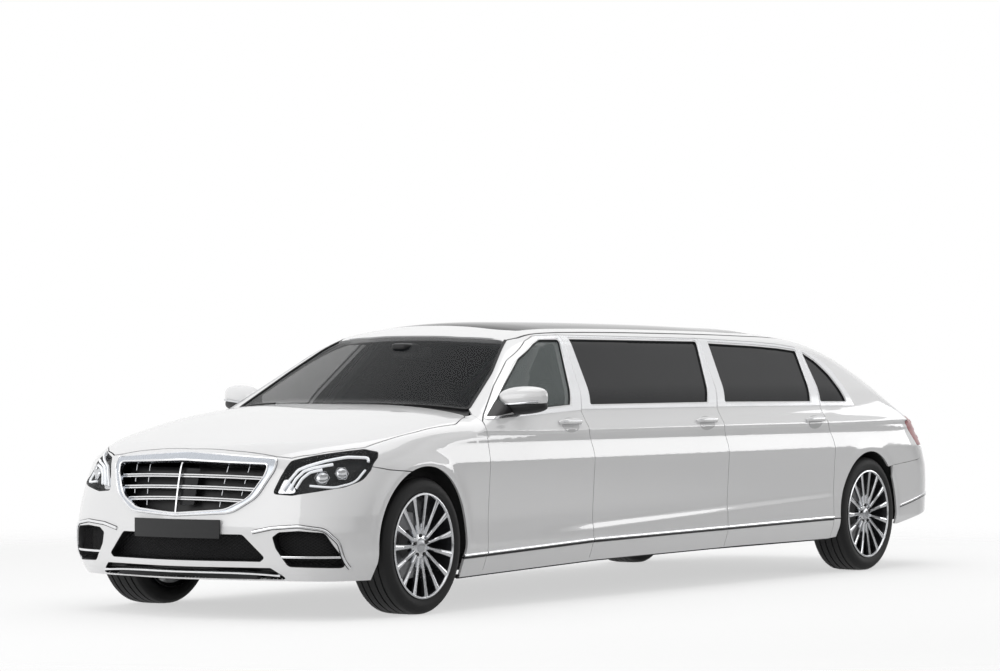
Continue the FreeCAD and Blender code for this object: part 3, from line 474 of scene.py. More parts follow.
def bar_section(width: float, height: float, sink: float = .003, corners: int = 3) -> Array:
    """Cross-section of a strip: flat under the skin by sink, its top edges rounded to a third of its height."""
    w, h, r = width / 2, height, min(height, width / 2) * .45
    t = np.linspace(0, math.pi / 2, corners)
    right = np.stack([w - r + r * np.cos(t), h - r + r * np.sin(t)], 1)
    left = np.stack([-w + r - r * np.sin(t), h - r + r * np.cos(t)], 1)
    return np.vstack([[[w, -sink]], right, left, [[-w, -sink]]])[::-1]


def oval(a: float, b: float, n: int, power: float = 1.) -> Array:
    """n points round an oval with half axes a and b: (a cos t, b sin t), each sine and cosine to a power."""
    t = around(n)
    return np.stack([a * signed(np.cos(t), power), b * signed(np.sin(t), power)], 1)


def tube_section(radius: float, n: int = 8) -> Array:
    """A round cross-section."""
    return oval(radius, radius, n)[::-1]


def lump(size: tuple[float, float, float], centre: tuple[float, float, float], power: float = 4., n: int = 24) -> Shell:
    """A super-ellipsoid: |x/a|^p + |y/b|^p + |z/c|^p = 1, from angles round and over it.

    Args:
        size: Half sizes a, b, c.
        centre: Its middle.
        power: 2 is round, large values are boxy.
        n: Steps from pole to pole.

    Returns:
        The closed shell.
    """
    lat = np.linspace(-math.pi / 2, math.pi / 2, n + 1)[1:-1, None]
    lon = around(2 * n)[None]
    e = 2 / power
    girth = signed(np.cos(lat), e)
    x, y, z = girth * signed(np.cos(lon), e), girth * signed(np.sin(lon), e), signed(np.sin(lat), e) + 0 * lon
    poles = np.array([[0, 0, -size[2]], [0, 0, size[2]]])
    return capped(np.stack([x, y, z], -1) * np.array(size), mids=poles).moved(centre)


# ------------------------------------------------------------------------------------------------ cut sheets
def ribbon(line: Array, width: float) -> Array:
    """A polyline widened to a closed thin polygon."""
    along = unit(np.gradient(line, axis=0))
    side = np.stack([-along[:, 1], along[:, 0]], 1) * width / 2
    return np.vstack([line + side, (line - side)[::-1]])


def grown(loop: Array, by: float) -> Array:
    """A closed loop moved outwards by a distance (inwards where it is negative)."""
    ahead, behind = np.roll(loop, -1, 0) - loop, loop - np.roll(loop, 1, 0)
    area = (loop[:, 0] * np.roll(loop[:, 1], -1) - np.roll(loop[:, 0], -1) * loop[:, 1]).sum()
    n = unit(ahead) + unit(behind)
    n = unit(np.stack([n[:, 1], -n[:, 0]], 1)) * (1 if area > 0 else -1)
    cosine = np.clip((unit(ahead) * unit(behind)).sum(1), -.6, 1)
    return loop + n * by / np.sqrt((1 + cosine) / 2)[:, None]


class Sheet:
    """A part of the skin, cut along its shut lines and openings, from which panels are picked by a seed point."""

    def __init__(self, chart: Chart, border: Array, seams: list[tuple[Array, float]], cuts: list[Array],
                 step: tuple[float, float] = (.032, .014), guides: Array | None = None) -> None:
        """Triangulates the chart with every line as an edge, drops what the gaps and openings take away.

        Args:
            chart: The parameters used.
            border: Closed loop in the chart.
            seams: (points on the skin, width of the gap).
            cuts: Closed loops of points on the skin whose inside is open.
            step: Spacing of the grid in metres along the two parameters.
            guides: Rows of points on the skin along its creases, which the mesh passes through.
        """
        self.chart, scale = chart, chart.scale
        loops = [border * scale]
        drops = [ribbon(chart.read(line) * scale, gap) for line, gap in seams]
        drops += [chart.read(loop) * scale for loop in cuts]
        loops += drops
        low, high = loops[0].min(0), loops[0].max(0)
        a, b = np.meshgrid(np.arange(low[0], high[0], step[0]), np.arange(low[1], high[1], step[1]), indexing="ij")
        inner = np.stack([a.ravel(), b.ravel()], 1)
        inner = inner[inside(loops[0], inner)]
        lines = np.vstack(loops)
        if guides is not None:
            extra = chart.read(guides) * scale
            extra = extra[inside(loops[0], extra)]
            lines = np.vstack([lines, extra[self._apart(extra, lines, np.ones(2)) > .0035 ** 2]])
        keep = self._apart(inner, lines, np.array([step[1] / step[0], 1.])) > (step[1] * .45) ** 2
        points = np.vstack([lines, inner[keep]])
        edges, at = [], 0
        for loop in loops:
            n = len(loop)
            edges += [(at + i, at + (i + 1) % n) for i in range(n)]
            at += n
        verts, _, faces, *_ = geometry.delaunay_2d_cdt(points.tolist(), edges, [], 0, 1e-6)
        self.uv = np.array([tuple(v) for v in verts])
        tris = np.array(faces)
        mid = self.uv[tris].mean(1)
        ok = inside(loops[0], mid)
        for loop in drops:
            near = ok & (mid >= loop.min(0)).all(1) & (mid <= loop.max(0)).all(1)
            ok[near] = ~inside(loop, mid[near])
        self.tris, self.mid = tris[ok], mid[ok]
        self.label = self._label()
        self.uv = self.uv / scale
        self.mid = self.mid / scale

    @staticmethod
    def _apart(points: Array, lines: Array, ratio: Array, block: int = 2000) -> Array:
        """Squared distance from each point to the nearest line point, with both coordinates times ratio."""
        return np.concatenate([(((points[k:k + block, None] - lines[None]) * ratio) ** 2).sum(-1).min(1)
                               for k in range(0, len(points), block)])

    def _label(self) -> Array:
        """The panel number of each triangle: the smallest number spreads over shared edges until nothing changes."""
        t = self.tris
        edge = np.sort(np.vstack([t[:, [0, 1]], t[:, [1, 2]], t[:, [2, 0]]]), 1)
        owner = np.tile(np.arange(len(t)), 3)
        key = edge[:, 0].astype(np.int64) * (self.uv.shape[0] + 1) + edge[:, 1]
        order = np.argsort(key, kind="stable")
        same = key[order][1:] == key[order][:-1]
        a, b = owner[order][:-1][same], owner[order][1:][same]
        label = np.arange(len(t))
        while True:
            before = label.copy()
            low = np.minimum(label[a], label[b])
            np.minimum.at(label, a, low)
            np.minimum.at(label, b, low)
            label = label[label]
            if (label == before).all():
                return label

    def pick(self, *seeds: tuple[float, float]) -> tuple[Array, Array]:
        """Points and triangles of the panels that hold the seeds."""
        picked = np.zeros(len(self.tris), bool)
        for seed in seeds:
            picked |= self.label == self.label[((self.mid - np.array(seed)) ** 2).sum(1).argmin()]
        tris = self.tris[picked]
        used, back = np.unique(tris, return_inverse=True)
        return self.uv[used], back.reshape(-1, 3)


@dataclass
class Plate:
    """Thickness of a panel: how far its face lies under the skin, its wall, and how its edges slant."""

    wall: float = .016
    sink: float = 0.
    high_wall: float | None = None                      # wall above the belt
    slant: tuple[float, float, float] | None = None     # x at the straight edge, x at the slanted edge, slant

    def shell(self, chart: Chart, uv: Array, tris: Array) -> tuple[Shell, list[int]]:
        """Closed plate: outer face p - n * sink, inner face p - n * (sink + wall), rim between.

        Returns:
            The shell, and the count of faces in its outer, inner and rim groups.
        """
        p = chart.place(uv)
        n = Skin.normal(p)
        a, b, c = p[tris[:, 0]], p[tris[:, 1]], p[tris[:, 2]]
        flip = (np.cross(b - a, c - a) * n[tris[:, 0]]).sum(1) < 0
        tris = np.where(flip[:, None], tris[:, ::-1], tris)
        wall = np.full(len(p), self.wall)
        if self.high_wall is not None:
            wall = self.high_wall + (self.wall - self.high_wall) * np.clip((BELT - p[:, 2]) / .05, 0, 1)
        outer = p - n * self.sink
        inner = p - n * (self.sink + wall[:, None])
        if self.slant:
            x0, x1, tan = self.slant
            inner[:, 0] += np.clip((p[:, 0] - x0) / (x1 - x0), 0, 1) * wall * tan
        edge = np.vstack([tris[:, [0, 1]], tris[:, [1, 2]], tris[:, [2, 0]]])
        key = np.sort(edge, 1).astype(np.int64) @ np.array([len(p) + 1, 1])
        _, first, count = np.unique(key, return_index=True, return_counts=True)
        rim_edges = edge[first[count == 1]]
        k = len(p)
        rim = np.stack([rim_edges[:, 1], rim_edges[:, 0], rim_edges[:, 0] + k, rim_edges[:, 1] + k], 1)
        verts = np.vstack([outer, inner])
        face_n = unit(np.cross(verts[rim[:, 1]] - verts[rim[:, 0]], verts[rim[:, 3]] - verts[rim[:, 0]]))
        normals = np.vstack([n[tris].reshape(-1, 3), -n[tris[:, ::-1]].reshape(-1, 3), np.repeat(face_n, 4, 0)])
        return Shell(verts, [tris, tris[:, ::-1] + k, rim], normals), [len(tris), len(tris), len(rim)]


def patch(chart: Chart, loop: Array, holes: list[Array], plate: Plate,
          step: tuple[float, float] = (.03, .014)) -> tuple[Shell, list[int]]:
    """A plate inside one loop of the chart and outside its holes.

    Args:
        chart: The parameters used.
        loop: Closed loop of points on the skin.
        holes: Loops of points on the skin that stay open.
        plate: Thickness of the plate.
        step: Spacing of its grid.

    Returns:
        The shell and its face groups.
    """
    sheet = Sheet(chart, chart.read(loop), [], holes, step)
    used, back = np.unique(sheet.tris, return_inverse=True)
    return plate.shell(chart, sheet.uv[used], back.reshape(-1, 3))


# ------------------------------------------------------------------------------------------------ finishes
class Pattern(Enum):
    """What the fine detail of a finish looks like."""

    CLOUD = "cloud"        # soft uneven tone
    FLAKE = "flake"        # fine sparkle of a painted coat
    BRUSHED = "brushed"    # lines along X
    GRAIN = "grain"        # pebbled, as leather or moulded plastic


class Graph:
    """A node tree that is being built."""

    def __init__(self, tree: bpy.types.NodeTree, keep: bool = False) -> None:
        """Takes up a tree, emptied unless its nodes are to keep."""
        self.tree = tree
        if not keep:
            tree.nodes.clear()

    def fill(self, node: bpy.types.Node, inputs: dict[str | int, object]) -> None:
        """Sets each named input to its value, or links it where that is a socket."""
        for key, value in inputs.items():
            if isinstance(value, bpy.types.NodeSocket):
                self.tree.links.new(value, node.inputs[key])
            else:
                node.inputs[key].default_value = value

    def node(self, kind: str, inputs: dict[str | int, object] | None = None, **settings: object) -> bpy.types.Node:
        """Adds a node.

        Args:
            kind: Its type, without the ShaderNode before it.
            inputs: Its inputs, as fill takes them.
            **settings: Its own properties.

        Returns:
            The node.
        """
        node = self.tree.nodes.new("ShaderNode" + kind)
        for key, value in settings.items():
            setattr(node, key, value)
        self.fill(node, inputs or {})
        return node


@dataclass(frozen=True)
class Finish:
    """One finish: a Principled surface whose tone, roughness and relief vary over the piece.

    The tone is the base colour times 1 + vary * noise; roughness is rough + rough_vary * noise; relief is a bump
    of the named height from the pattern at its own scale. Wear is a second, slower noise that dulls the surface.
    """

    name: str
    base: tuple[float, float, float]
    slot: str
    rough: float = .4
    metal: float = 0.
    coat: float = 0.
    alpha: float = 1.
    glow: float = 0.
    pattern: Pattern = Pattern.CLOUD
    scale: float = 40.
    vary: float = .08
    rough_vary: float = .08
    bump: float = .0002
    ior: float = 1.45

    def build(self) -> bpy.types.Material:
        """Makes the material once and returns it after that."""
        if self.name in bpy.data.materials:
            return bpy.data.materials[self.name]
        mat = bpy.data.materials.new(self.name)
        mat.use_nodes = True
        graph = Graph(mat.node_tree)
        node = graph.node
        out, bsdf = node("OutputMaterial"), node("BsdfPrincipled")
        graph.fill(out, {"Surface": bsdf.outputs["BSDF"]})
        coords = node("TexCoord").outputs["Object"]
        stretch = (.05, 1., 1.) if self.pattern is Pattern.BRUSHED else (1., 1., 1.)
        fine = node("Mapping", {"Scale": [self.scale * s for s in stretch], "Vector": coords}).outputs["Vector"]
        if self.pattern in (Pattern.GRAIN, Pattern.FLAKE):
            cell = node("TexVoronoi", {"Scale": 4., "Vector": fine})
            detail = cell.outputs["Distance"]
            if self.pattern is Pattern.FLAKE:
                detail = node("RGBToBW", {"Color": cell.outputs["Color"]}).outputs["Val"]
        else:
            detail = node("TexNoise", {"Scale": 1., "Detail": 5., "Vector": fine}).outputs["Fac"]
        slow = node("TexNoise", {"Scale": 2.3, "Detail": 4., "Vector": coords}).outputs["Fac"]

        def ramp(source: bpy.types.NodeSocket, low: float, high: float) -> bpy.types.NodeSocket:
            """Carries the middle half of a source's range to low ... high."""
            return node("MapRange", {"From Min": .25, "From Max": .75, "To Min": low, "To Max": high,
                                     "Value": source}).outputs["Result"]

        def times(a: bpy.types.NodeSocket, b: bpy.types.NodeSocket) -> bpy.types.NodeSocket:
            """The product of two sources."""
            return node("Math", {0: a, 1: b}, operation="MULTIPLY").outputs[0]

        tone = times(ramp(detail, 1 - self.vary, 1 + self.vary), ramp(slow, 1 - self.vary / 2, 1.))
        colour = node("Mix", {"Factor": 1., "A": (*self.base, 1.)}, data_type="RGBA", blend_type="MULTIPLY")
        grey = node("CombineColor", {channel: tone for channel in ("Red", "Green", "Blue")})
        graph.fill(colour, {"B": grey.outputs["Color"]})
        rough = times(ramp(slow, self.rough * (1 - self.rough_vary), self.rough * (1 + self.rough_vary)),
                      ramp(detail, 1 - self.rough_vary, 1 + self.rough_vary))
        relief = node("Bump", {"Strength": .6, "Distance": self.bump, "Height": detail})
        graph.fill(bsdf, {"Base Color": colour.outputs["Result"], "Roughness": rough,
                          "Normal": relief.outputs["Normal"], "Metallic": self.metal, "Coat Weight": self.coat,
                          "Coat Roughness": .03, "Coat IOR": 2.0, "IOR": self.ior, "Alpha": self.alpha})
        if self.glow:
            graph.fill(bsdf, {"Emission Strength": self.glow, "Emission Color": colour.outputs["Result"]})
        return mat


class Look:
    """Every finish of the car."""

    PAINT = Finish("white_paint", (.80, .80, .805), "body_paint", .38, coat=1., pattern=Pattern.FLAKE, scale=900.,
                   vary=.012, rough_vary=.05, bump=.000004)
    # Darker grey paint for the handle cups: painted shade for the shadow in the cup's hollow; the cup itself stands
    # slightly proud of the skin.
    CUP_PAINTED_SHADE = Finish("white_paint_cup_painted_shade", (.50, .50, .505), "body_paint", .42, coat=.8, scale=80., vary=.02,
                         rough_vary=.05, bump=.000004)
    PLATE = Finish("blank_plate", (.018, .0185, .0195), "black_trim", .38, scale=50., bump=.00004)
    CARPET_PAN = Finish("floor_coating", (.024, .024, .025), "underbody", .85, pattern=Pattern.GRAIN, scale=140.,
                        vary=.25, bump=.0006)
    CHROME = Finish("bright_chrome", (.90, .905, .92), "bright_trim", .19, metal=1., pattern=Pattern.BRUSHED,
                    scale=60., vary=.03, rough_vary=.25, bump=.00001)
    BAND = Finish("grille_band_metal", (.60, .63, .68), "bright_trim", .27, metal=1., pattern=Pattern.BRUSHED,
                  scale=90., vary=.04, rough_vary=.2, bump=.00002)
    SATIN = Finish("satin_metal", (.55, .56, .58), "bright_trim", .28, metal=1., pattern=Pattern.BRUSHED, scale=90.,
                   vary=.05, rough_vary=.2, bump=.00002)
    BLACK = Finish("black_plastic", (.012, .012, .013), "black_trim", .42, pattern=Pattern.GRAIN, scale=260.,
                   vary=.12, rough_vary=.15, bump=.00008)
    GLOSS = Finish("gloss_black", (.008, .008, .009), "black_trim", .10, coat=.5, vary=.1, bump=.00001)
    BOWL = Finish("lamp_bowl_black", (.006, .006, .007), "black_trim", .55, scale=200., vary=.12, bump=.00005)
    # Black rubber of the seals; the same black also makes the painted shadow lines under the sill, side vent and rear
    # bumper strips.
    SEAL_AND_PAINTED_SHADOW = Finish("rubber_seal_and_painted_shadow", (.010, .010, .011), "black_trim", .62, pattern=Pattern.GRAIN, scale=320., bump=.0001)
    TYRE = Finish("tyre_rubber_worn", (.009, .009, .0095), "tyre_rubber", .64, pattern=Pattern.GRAIN, scale=240.,
                  vary=.18, rough_vary=.12, bump=.00018)
    ALLOY = Finish("polished_alloy", (.78, .79, .81), "wheel_alloy", .22, metal=1., scale=120., vary=.04,
                   rough_vary=.2, bump=.00002)
    POCKET = Finish("dark_alloy", (.045, .046, .050), "wheel_alloy", .34, metal=.8, scale=90., vary=.1, bump=.00004)
    DISC = Finish("brake_disc_steel", (.42, .42, .43), "bare_steel", .32, metal=1., scale=150., bump=.00004)
    GLASS_FRONT = Finish("front_glass_clear", (.16, .185, .182), "front_glass", .03, alpha=.42, scale=6., vary=.05,
                         rough_vary=.3, bump=.0000001, ior=1.32)
    GLASS_SCREEN = Finish("windscreen_clear", (.010, .012, .014), "front_glass", .03, alpha=.36, scale=6., vary=.05,
                          rough_vary=.3, bump=.0000001, ior=1.28)
    GLASS_DARK = Finish("privacy_glass_dark", (.026, .0265, .028), "privacy_glass", .03, alpha=.97, scale=6., vary=.06,
                        rough_vary=.3, bump=.0000001, ior=1.22)
    GLASS_BLACK = Finish("black_glass_border", (.006, .006, .007), "privacy_glass", .04, scale=6., vary=.1,
                         rough_vary=.3, bump=.0000001, ior=1.10)
    LENS = Finish("lamp_lens_clear", (.25, .26, .27), "lamp_glass", .03, alpha=.04, scale=8., vary=.04,
                  rough_vary=.3, bump=.000002, ior=1.5)
    REFLECTOR = Finish("lamp_reflector", (.72, .73, .75), "lamp_glass", .16, metal=1., scale=70., vary=.06, bump=.00002)
    LED = Finish("lamp_light_strip", (.90, .92, .95), "lamp_glass", .25, glow=.30, scale=200., vary=.03, bump=.00002)
    RED = Finish("red_lamp_lens", (.30, .008, .012), "red_lamp", .30, coat=.3, scale=300., vary=.15, bump=.00005)
    RED_LIGHT = Finish("red_lamp_band", (.50, .045, .055), "red_lamp", .30, coat=.2, scale=300., vary=.1, bump=.00005)
    LEATHER = Finish("black_leather", (.018, .0175, .0175), "seat_leather", .44, pattern=Pattern.GRAIN, scale=170.,
                     vary=.12, rough_vary=.12, bump=.00025)
    LINING = Finish("roof_lining", (.36, .34, .31), "seat_leather", .85, pattern=Pattern.GRAIN, scale=300., vary=.06,
                    bump=.0002)
    CARPET = Finish("dark_carpet", (.030, .029, .029), "underbody", .95, pattern=Pattern.GRAIN, scale=160., vary=.3,
                    bump=.0012)
    WOOD = Finish("dark_wood", (.055, .022, .010), "seat_leather", .16, coat=1., pattern=Pattern.BRUSHED, scale=70.,
                  vary=.35, bump=.00002)
    UNDER = Finish("underbody_coating", (.026, .026, .027), "underbody", .82, pattern=Pattern.GRAIN, scale=130.,
                   vary=.25, bump=.0006)
    CAST = Finish("cast_metal_grey", (.20, .20, .205), "cast_metal", .52, metal=.85, pattern=Pattern.GRAIN, scale=150.,
                  vary=.15, bump=.0003)
    STEEL = Finish("bare_steel_worn", (.34, .34, .345), "bare_steel", .38, metal=1., scale=60., vary=.12, bump=.00008)


# ------------------------------------------------------------------------------------------------ the car
BODY = "body"
SIDES = ("left", "right")
SHARP = math.radians(40.)  # edges over this angle are sharp where a shell brings no normals of its own
GAP = .0048                # shut lines
SLIT = .002                # cuts that part two sheets where no gap shows
EDGE = .004                # cuts along the free lower edges


@dataclass
class Car:
    """Puts pieces into the frame and counts them."""

    frame: dict
    made: list[str] = field(default_factory=list)

    def put(self, name: str, shell: Shell, finish: Finish, body: str = BODY, replaces: tuple[str, ...] = (),
            inner: tuple[Finish, list[int]] | None = None) -> bpy.types.Object:
        """Makes one piece, finished, riding on its body.

        Args:
            name: Name of the piece.
            shell: Its mesh.
            finish: Its finish.
            body: The body it rides on.
            replaces: The construction nodes it stands for.
            inner: Finish of the second of its face groups, and the counts of the groups.

        Returns:
            The object.
        """
        mesh = bpy.data.meshes.new(name)
        sizes = np.concatenate([np.full(len(f), f.shape[1]) for f in shell.faces])
        loops = np.concatenate([f.ravel() for f in shell.faces]).astype(np.int32)
        mesh.vertices.add(len(shell.verts))
        mesh.vertices.foreach_set("co", shell.verts.astype(np.float32).ravel())
        mesh.loops.add(len(loops))
        mesh.loops.foreach_set("vertex_index", loops)
        mesh.polygons.add(len(sizes))
        starts = np.concatenate([[0], np.cumsum(sizes)[:-1]]).astype(np.int32)
        mesh.polygons.foreach_set("loop_start", starts)
        mesh.update(calc_edges=True)
        mesh.polygons.foreach_set("use_smooth", np.ones(len(sizes), bool))
        mesh.materials.append(finish.build())
        if inner:
            mesh.materials.append(inner[0].build())
            index = np.repeat(np.array([0, 1, 0]), inner[1])
            mesh.polygons.foreach_set("material_index", index.astype(np.int32))
        if shell.normals is not None:
            mesh.normals_split_custom_set(shell.normals.tolist())
        else:
            mesh.set_sharp_from_angle(angle=SHARP)
        obj = bpy.data.objects.new(name, mesh)
        bpy.context.scene.collection.objects.link(obj)
        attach(obj, body)
        nodes = tuple(n for n in replaces if n in self.frame["nodes"])
        if nodes:
            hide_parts(*nodes)
        self.made.append(name)
        return obj

    def pair(self, name: str, shell: Shell, finish: Finish, body: str = BODY, replaces: tuple[str, ...] = (),
             inner: tuple[Finish, list[int]] | None = None) -> None:
        """The piece on the left and its mirror image; {side} in the names becomes left or right."""
        for side in SIDES:
            made = shell if side == "left" else shell.mirrored()
            nodes = tuple(n.format(side=side) for n in replaces)
            self.put(f"{name}_{side}", made, finish, body.format(side=side), nodes, inner)


@dataclass
class Part:
    """A group of pieces that goes into the car."""

    car: Car

    def build(self) -> None:
        """Makes every piece of the group."""
        raise NotImplementedError

    def panel(self, name: str, chart: Chart, loop: Array, plate: Plate, finish: Finish,
              step: tuple[float, float] = (.02, .014), body: str = BODY, nodes: tuple[str, ...] = (),
              both: bool = False) -> None:
        """Puts in a plate that fills one loop of the skin.

        Args:
            name: Name of the piece.
            chart: The parameters used.
            loop: Closed loop of points on the skin.
            plate: Its thickness and place under the skin.
            finish: Its finish.
            step: Spacing of its grid.
            body: The body it rides on.
            nodes: The construction nodes it stands for.
            both: Whether it is made for the left and the right side.
        """
        shell, _ = patch(chart, loop, [], plate, step)
        (self.car.pair if both else self.car.put)(name, shell, finish, body, nodes)

    def block(self, name: str, size: tuple[float, float, float], centre: tuple[float, float, float], power: float,
              n: int, finish: Finish, nodes: tuple[str, ...] = ()) -> None:
        """Puts in a super-ellipsoid that rides on the body; size, centre, power and n are those of lump."""
        self.car.put(name, lump(size, centre, power, n), finish, BODY, nodes)


def line(view: View, points: Points, step: float = .02, closed: bool = False) -> Array:
    """A line or loop drawn in a view, on the skin."""
    return on_skin(view, rounded(points, step, closed))


def strip(path: Array, section: Array, closed: bool = False, lift: float = 0.) -> Shell:
    """A section swept along a line on the skin, standing on it."""
    n = Skin.normal(path)
    return sweep(path + n * lift, n, section, closed)


class BodyShell(Part):
    """Painted panels: the sides, the bonnet, roof and boot lid seen from above, the two ends."""

    SCREEN = [(2.112, 0., 2.), (2.06, .43, .30), (1.945, .755, .03), (1.60, .672, .60), (1.275, .553, .05),
              (1.345, .30, .30), (1.372, 0., 2.)]
    BACKLIGHT = [(-2.11, 0., 1.6), (-1.99, .50, .06), (-2.71, .69, .06), (-2.89, 0., 2.)]
    BONNET = [(2.165, 0., 2.2), (2.12, .45, .40), (2.031, .80, .04), (2.233, .872, .15), (2.60, .862, .50),
              (2.814, .838, .30), (2.976, .813, .10), (3.088, .750, .10), (3.194, .662, .10), (3.262, .570, .03),
              (3.284, .494, .05), (3.325, .25, .50), (3.343, 0., .50)]
    BOOT = [(-2.945, 0.), (-2.79, .70, .02), (-3.24, .705, .15), (-3.33, .60, .05), (-3.6, .60)]
    LAMP = [(.516, .630, .02), (.545, .721, .05), (.574, .798, .03), (.667, .823, .05), (.755, .842, .08),
            (.818, .854, .03), (.866, .838, .02), (.882, .810, .02), (.890, .752, .05), (.877, .696, .05),
            (.832, .664, .06), (.737, .644, .06), (.618, .623, .04)]
    FENDER_SEAM = [(3.04, .770), (2.906, .748, .10), (2.74, .735)]
    TAIL_EDGE = [(-2.80, .962, .02), (-2.885, .865, .15), (-3.01, .765, .02)]      # front edge, seen from the side
    TAIL_LAMP = [(.70, .748, .03), (.612, .760, .02), (.612, .948, .03), (.70, .962, .04)]
    GRILLE = [(-.512, .808, .03), (-.514, .75, .12), (-.445, .612, .14), (-.32, .530, .16), (0., .512, .60),
              (.32, .530, .16), (.445, .612, .14), (.514, .75, .12), (.512, .808, .03), (0., .841, .90)]
    INTAKE = [(-.38, .428, .03), (-.495, .312, .015), (-.47, .292, .015), (.47, .292, .015), (.495, .312, .015),
              (.38, .428, .03)]
    VENT = [(.538, .417, .01), (.572, .442, .03), (.673, .450, .08), (.79, .441, .03), (.845, .327, .06),
            (.850, .262, .02), (.615, .268, .03), (.553, .359, .06)]
    LIP = [(-.52, .262, .02), (-.60, .202, .02), (.60, .202, .02), (.52, .262, .02)]
    DOORS = ("front", "middle", "rear")
    DOOR_EDGES = (2.010, .958, -.530, -1.838)            # x of the shut lines before and behind the doors
    DOOR_TOP = [(2.010, .20), (2.010, .86, .40), (2.030, .945, .04), (1.998, .982, .02), (1.690, 1.168, .40),
                (1.452, 1.303, .40), (1.20, 1.408, .15), (1.09, 1.437, .08), (.84, 1.444), (-.652, 1.433),
                (-1.30, 1.417, .10), (-1.60, 1.403, .10), (-1.806, 1.384, .02), (-1.712, 1.02, .06),
                (-1.838, .80, .14), (-1.838, .22)]
    POSTS = ([(.958, .22), (.958, .80, .12), (1.040, 1.03, .05), (.849, 1.45)],
             [(-.530, .22), (-.530, .80, .12), (-.457, 1.03, .05), (-.652, 1.44)])
    SILL_SEAM = [(2.35, .265), (.956, .306), (-1.98, .338)]
    BUMPER_SEAM = [(-2.49, .632), (-2.632, .649), (-3.031, .678, .1), (-3.20, .765)]      # rear, from the side
    BUMPER_GAP = .0028
    DITCH_GAP = .012                                     # between the roof and the side
    BOTTOM = [(3.2, .195), (2.6, .185), (2.256, .168), (2.0, .175), (.89, .203), (-.72, .215), (-1.81, .213),
              (-2.6, .265), (-3.5, .285)]
    WINDOWS = {
        "front": ([(1.912, 1.022, .01), (1.63, 1.179, .50), (1.38, 1.313, .30), (1.169, 1.393, .20),
                   (1.08, 1.417, .08), (.893, 1.418, .01), (1.135, 1.060, .01)],
                  [(1.986, .988, .01), (1.685, 1.162, .40), (1.449, 1.297, .40), (1.20, 1.402, .15),
                   (1.09, 1.431, .08), (.852, 1.438, .004), (1.040, 1.031, .004)]),
        "middle": ([(.922, 1.060, .01), (.779, 1.421, .01), (-.616, 1.415, .01), (-.366, 1.062, .01)],
                   [(1.031, 1.034, .004), (.840, 1.438, .004), (-.648, 1.428, .004), (-.454, 1.034, .004)]),
        "rear": ([(-.570, 1.062, .01), (-.745, 1.405, .01), (-1.264, 1.391, .10), (-1.56, 1.378, .10),
                  (-1.764, 1.362, .01), (-1.612, 1.056, .01)],
                 [(-.463, 1.034, .004), (-.660, 1.427, .004), (-1.30, 1.411, .10), (-1.60, 1.397, .10),
                  (-1.800, 1.378, .004), (-1.716, 1.030, .004)]),
        "quarter": ([(-1.742, 1.055, .01), (-1.836, 1.350, .01), (-1.938, 1.297, .20), (-2.010, 1.215, .15),
                     (-2.034, 1.140, .10), (-2.060, 1.052, .01)],
                    [(-1.722, 1.028, .004), (-1.820, 1.374, .004), (-1.975, 1.326, .20), (-2.070, 1.243, .15),
                     (-2.102, 1.150, .15), (-2.145, 1.026, .004)]),
    }

    @staticmethod
    def whole(half: Points) -> Points:
        """A symmetrical loop from its left half, which starts and ends on the centre line."""
        return half + flipped(half[-2:0:-1])

    @classmethod
    def arch(cls, k: int, by: float = 0.) -> Array:
        """Wheel opening seen from the side: an ellipse over the wheel with straight sides below its centre."""
        x, a, b = Skin.ARCHES[k]
        t = np.linspace(-.18, math.pi + .18, 60)
        ring = np.stack([x + (a + by) * np.cos(t), WHEEL_Z + (b + by) * np.sin(t)], 1)
        legs = np.array([[x - (a + by) * 1.02, .05], [x + (a + by) * 1.02, .05]])
        return np.vstack([ring, legs])

    @classmethod
    def tail_lamp(cls, by: float = 0.) -> Array:
        """Outline of the left tail lamp on the skin: its front edge seen from the side, the rest from behind."""
        loop = np.vstack([line(SIDE, cls.TAIL_EDGE), line(REAR, cls.TAIL_LAMP)])
        flat = TAIL.read(loop) * TAIL.scale
        return TAIL.place(grown(flat, by) / TAIL.scale) if by else loop

    @classmethod
    def front_edge(cls) -> Points:
        """The bonnet's side and front edge on both sides, seen from above."""
        half = cls.BONNET[4:]
        return flipped(half) + half[-2::-1]

    def side(self) -> None:
        """Doors, sills, wings and the one-piece side with the pillars and the rear quarter."""
        drawn = [(SIDE, self.DOOR_TOP, GAP), *((SIDE, post, GAP) for post in self.POSTS),
                 (SIDE, self.SILL_SEAM, GAP), (SIDE, self.BOTTOM, EDGE), (SIDE, self.FENDER_SEAM, GAP),
                 (SIDE, self.BUMPER_SEAM, self.BUMPER_GAP), (PLAN, self.BONNET[1:10], GAP),
                 (PLAN, self.BOOT[1:], GAP), (PLAN, [(-2.70, .67), (-2.79, .70)], SLIT),
                 (PLAN, [(2.10, .78), (2.031, .802), (1.985, .806, .02), (1.925, .735)], GAP),
                 (PLAN, [(2.012, .918), (1.988, .80)], SLIT),
                 (PLAN, [(1.275, .553), (1.20, .585, .04), (.9, .592), (-1.6, .592), (-1.92, .56, .1),
                              (-1.99, .50)], self.DITCH_GAP)]
        seams = [(line(view, points), gap) for view, points, gap in drawn]
        holes = [*((SIDE, glass) for glass, _ in self.WINDOWS.values()), (PLAN, self.whole(self.SCREEN)),
                 (PLAN, self.whole(self.BACKLIGHT)), (FRONT, self.LAMP)]
        cuts = [on_skin(SIDE, self.arch(k)) for k in (0, 1)]
        cuts += [line(view, points, closed=True) for view, points in holes] + [self.tail_lamp()]
        border = rounded([(-3.36, -.86), (3.02, -.86), (3.02, 1.30), (-3.36, 1.30)], .03)
        x = np.arange(-3.3, 3.0, .025)
        rows = [0 * x + z for z in (.757, .765, .773, .860, .868, .876, .917, .925, .933)]
        rows += [Skin.ledge(x) + dz for dz in (-.040, -.034, -.028, -.017, -.006, 0., .008)]
        guides = seen(SIDE, np.tile(x, len(rows)), np.concatenate(rows))
        sheet = Sheet(ROUND, border, seams, cuts, guides=guides)

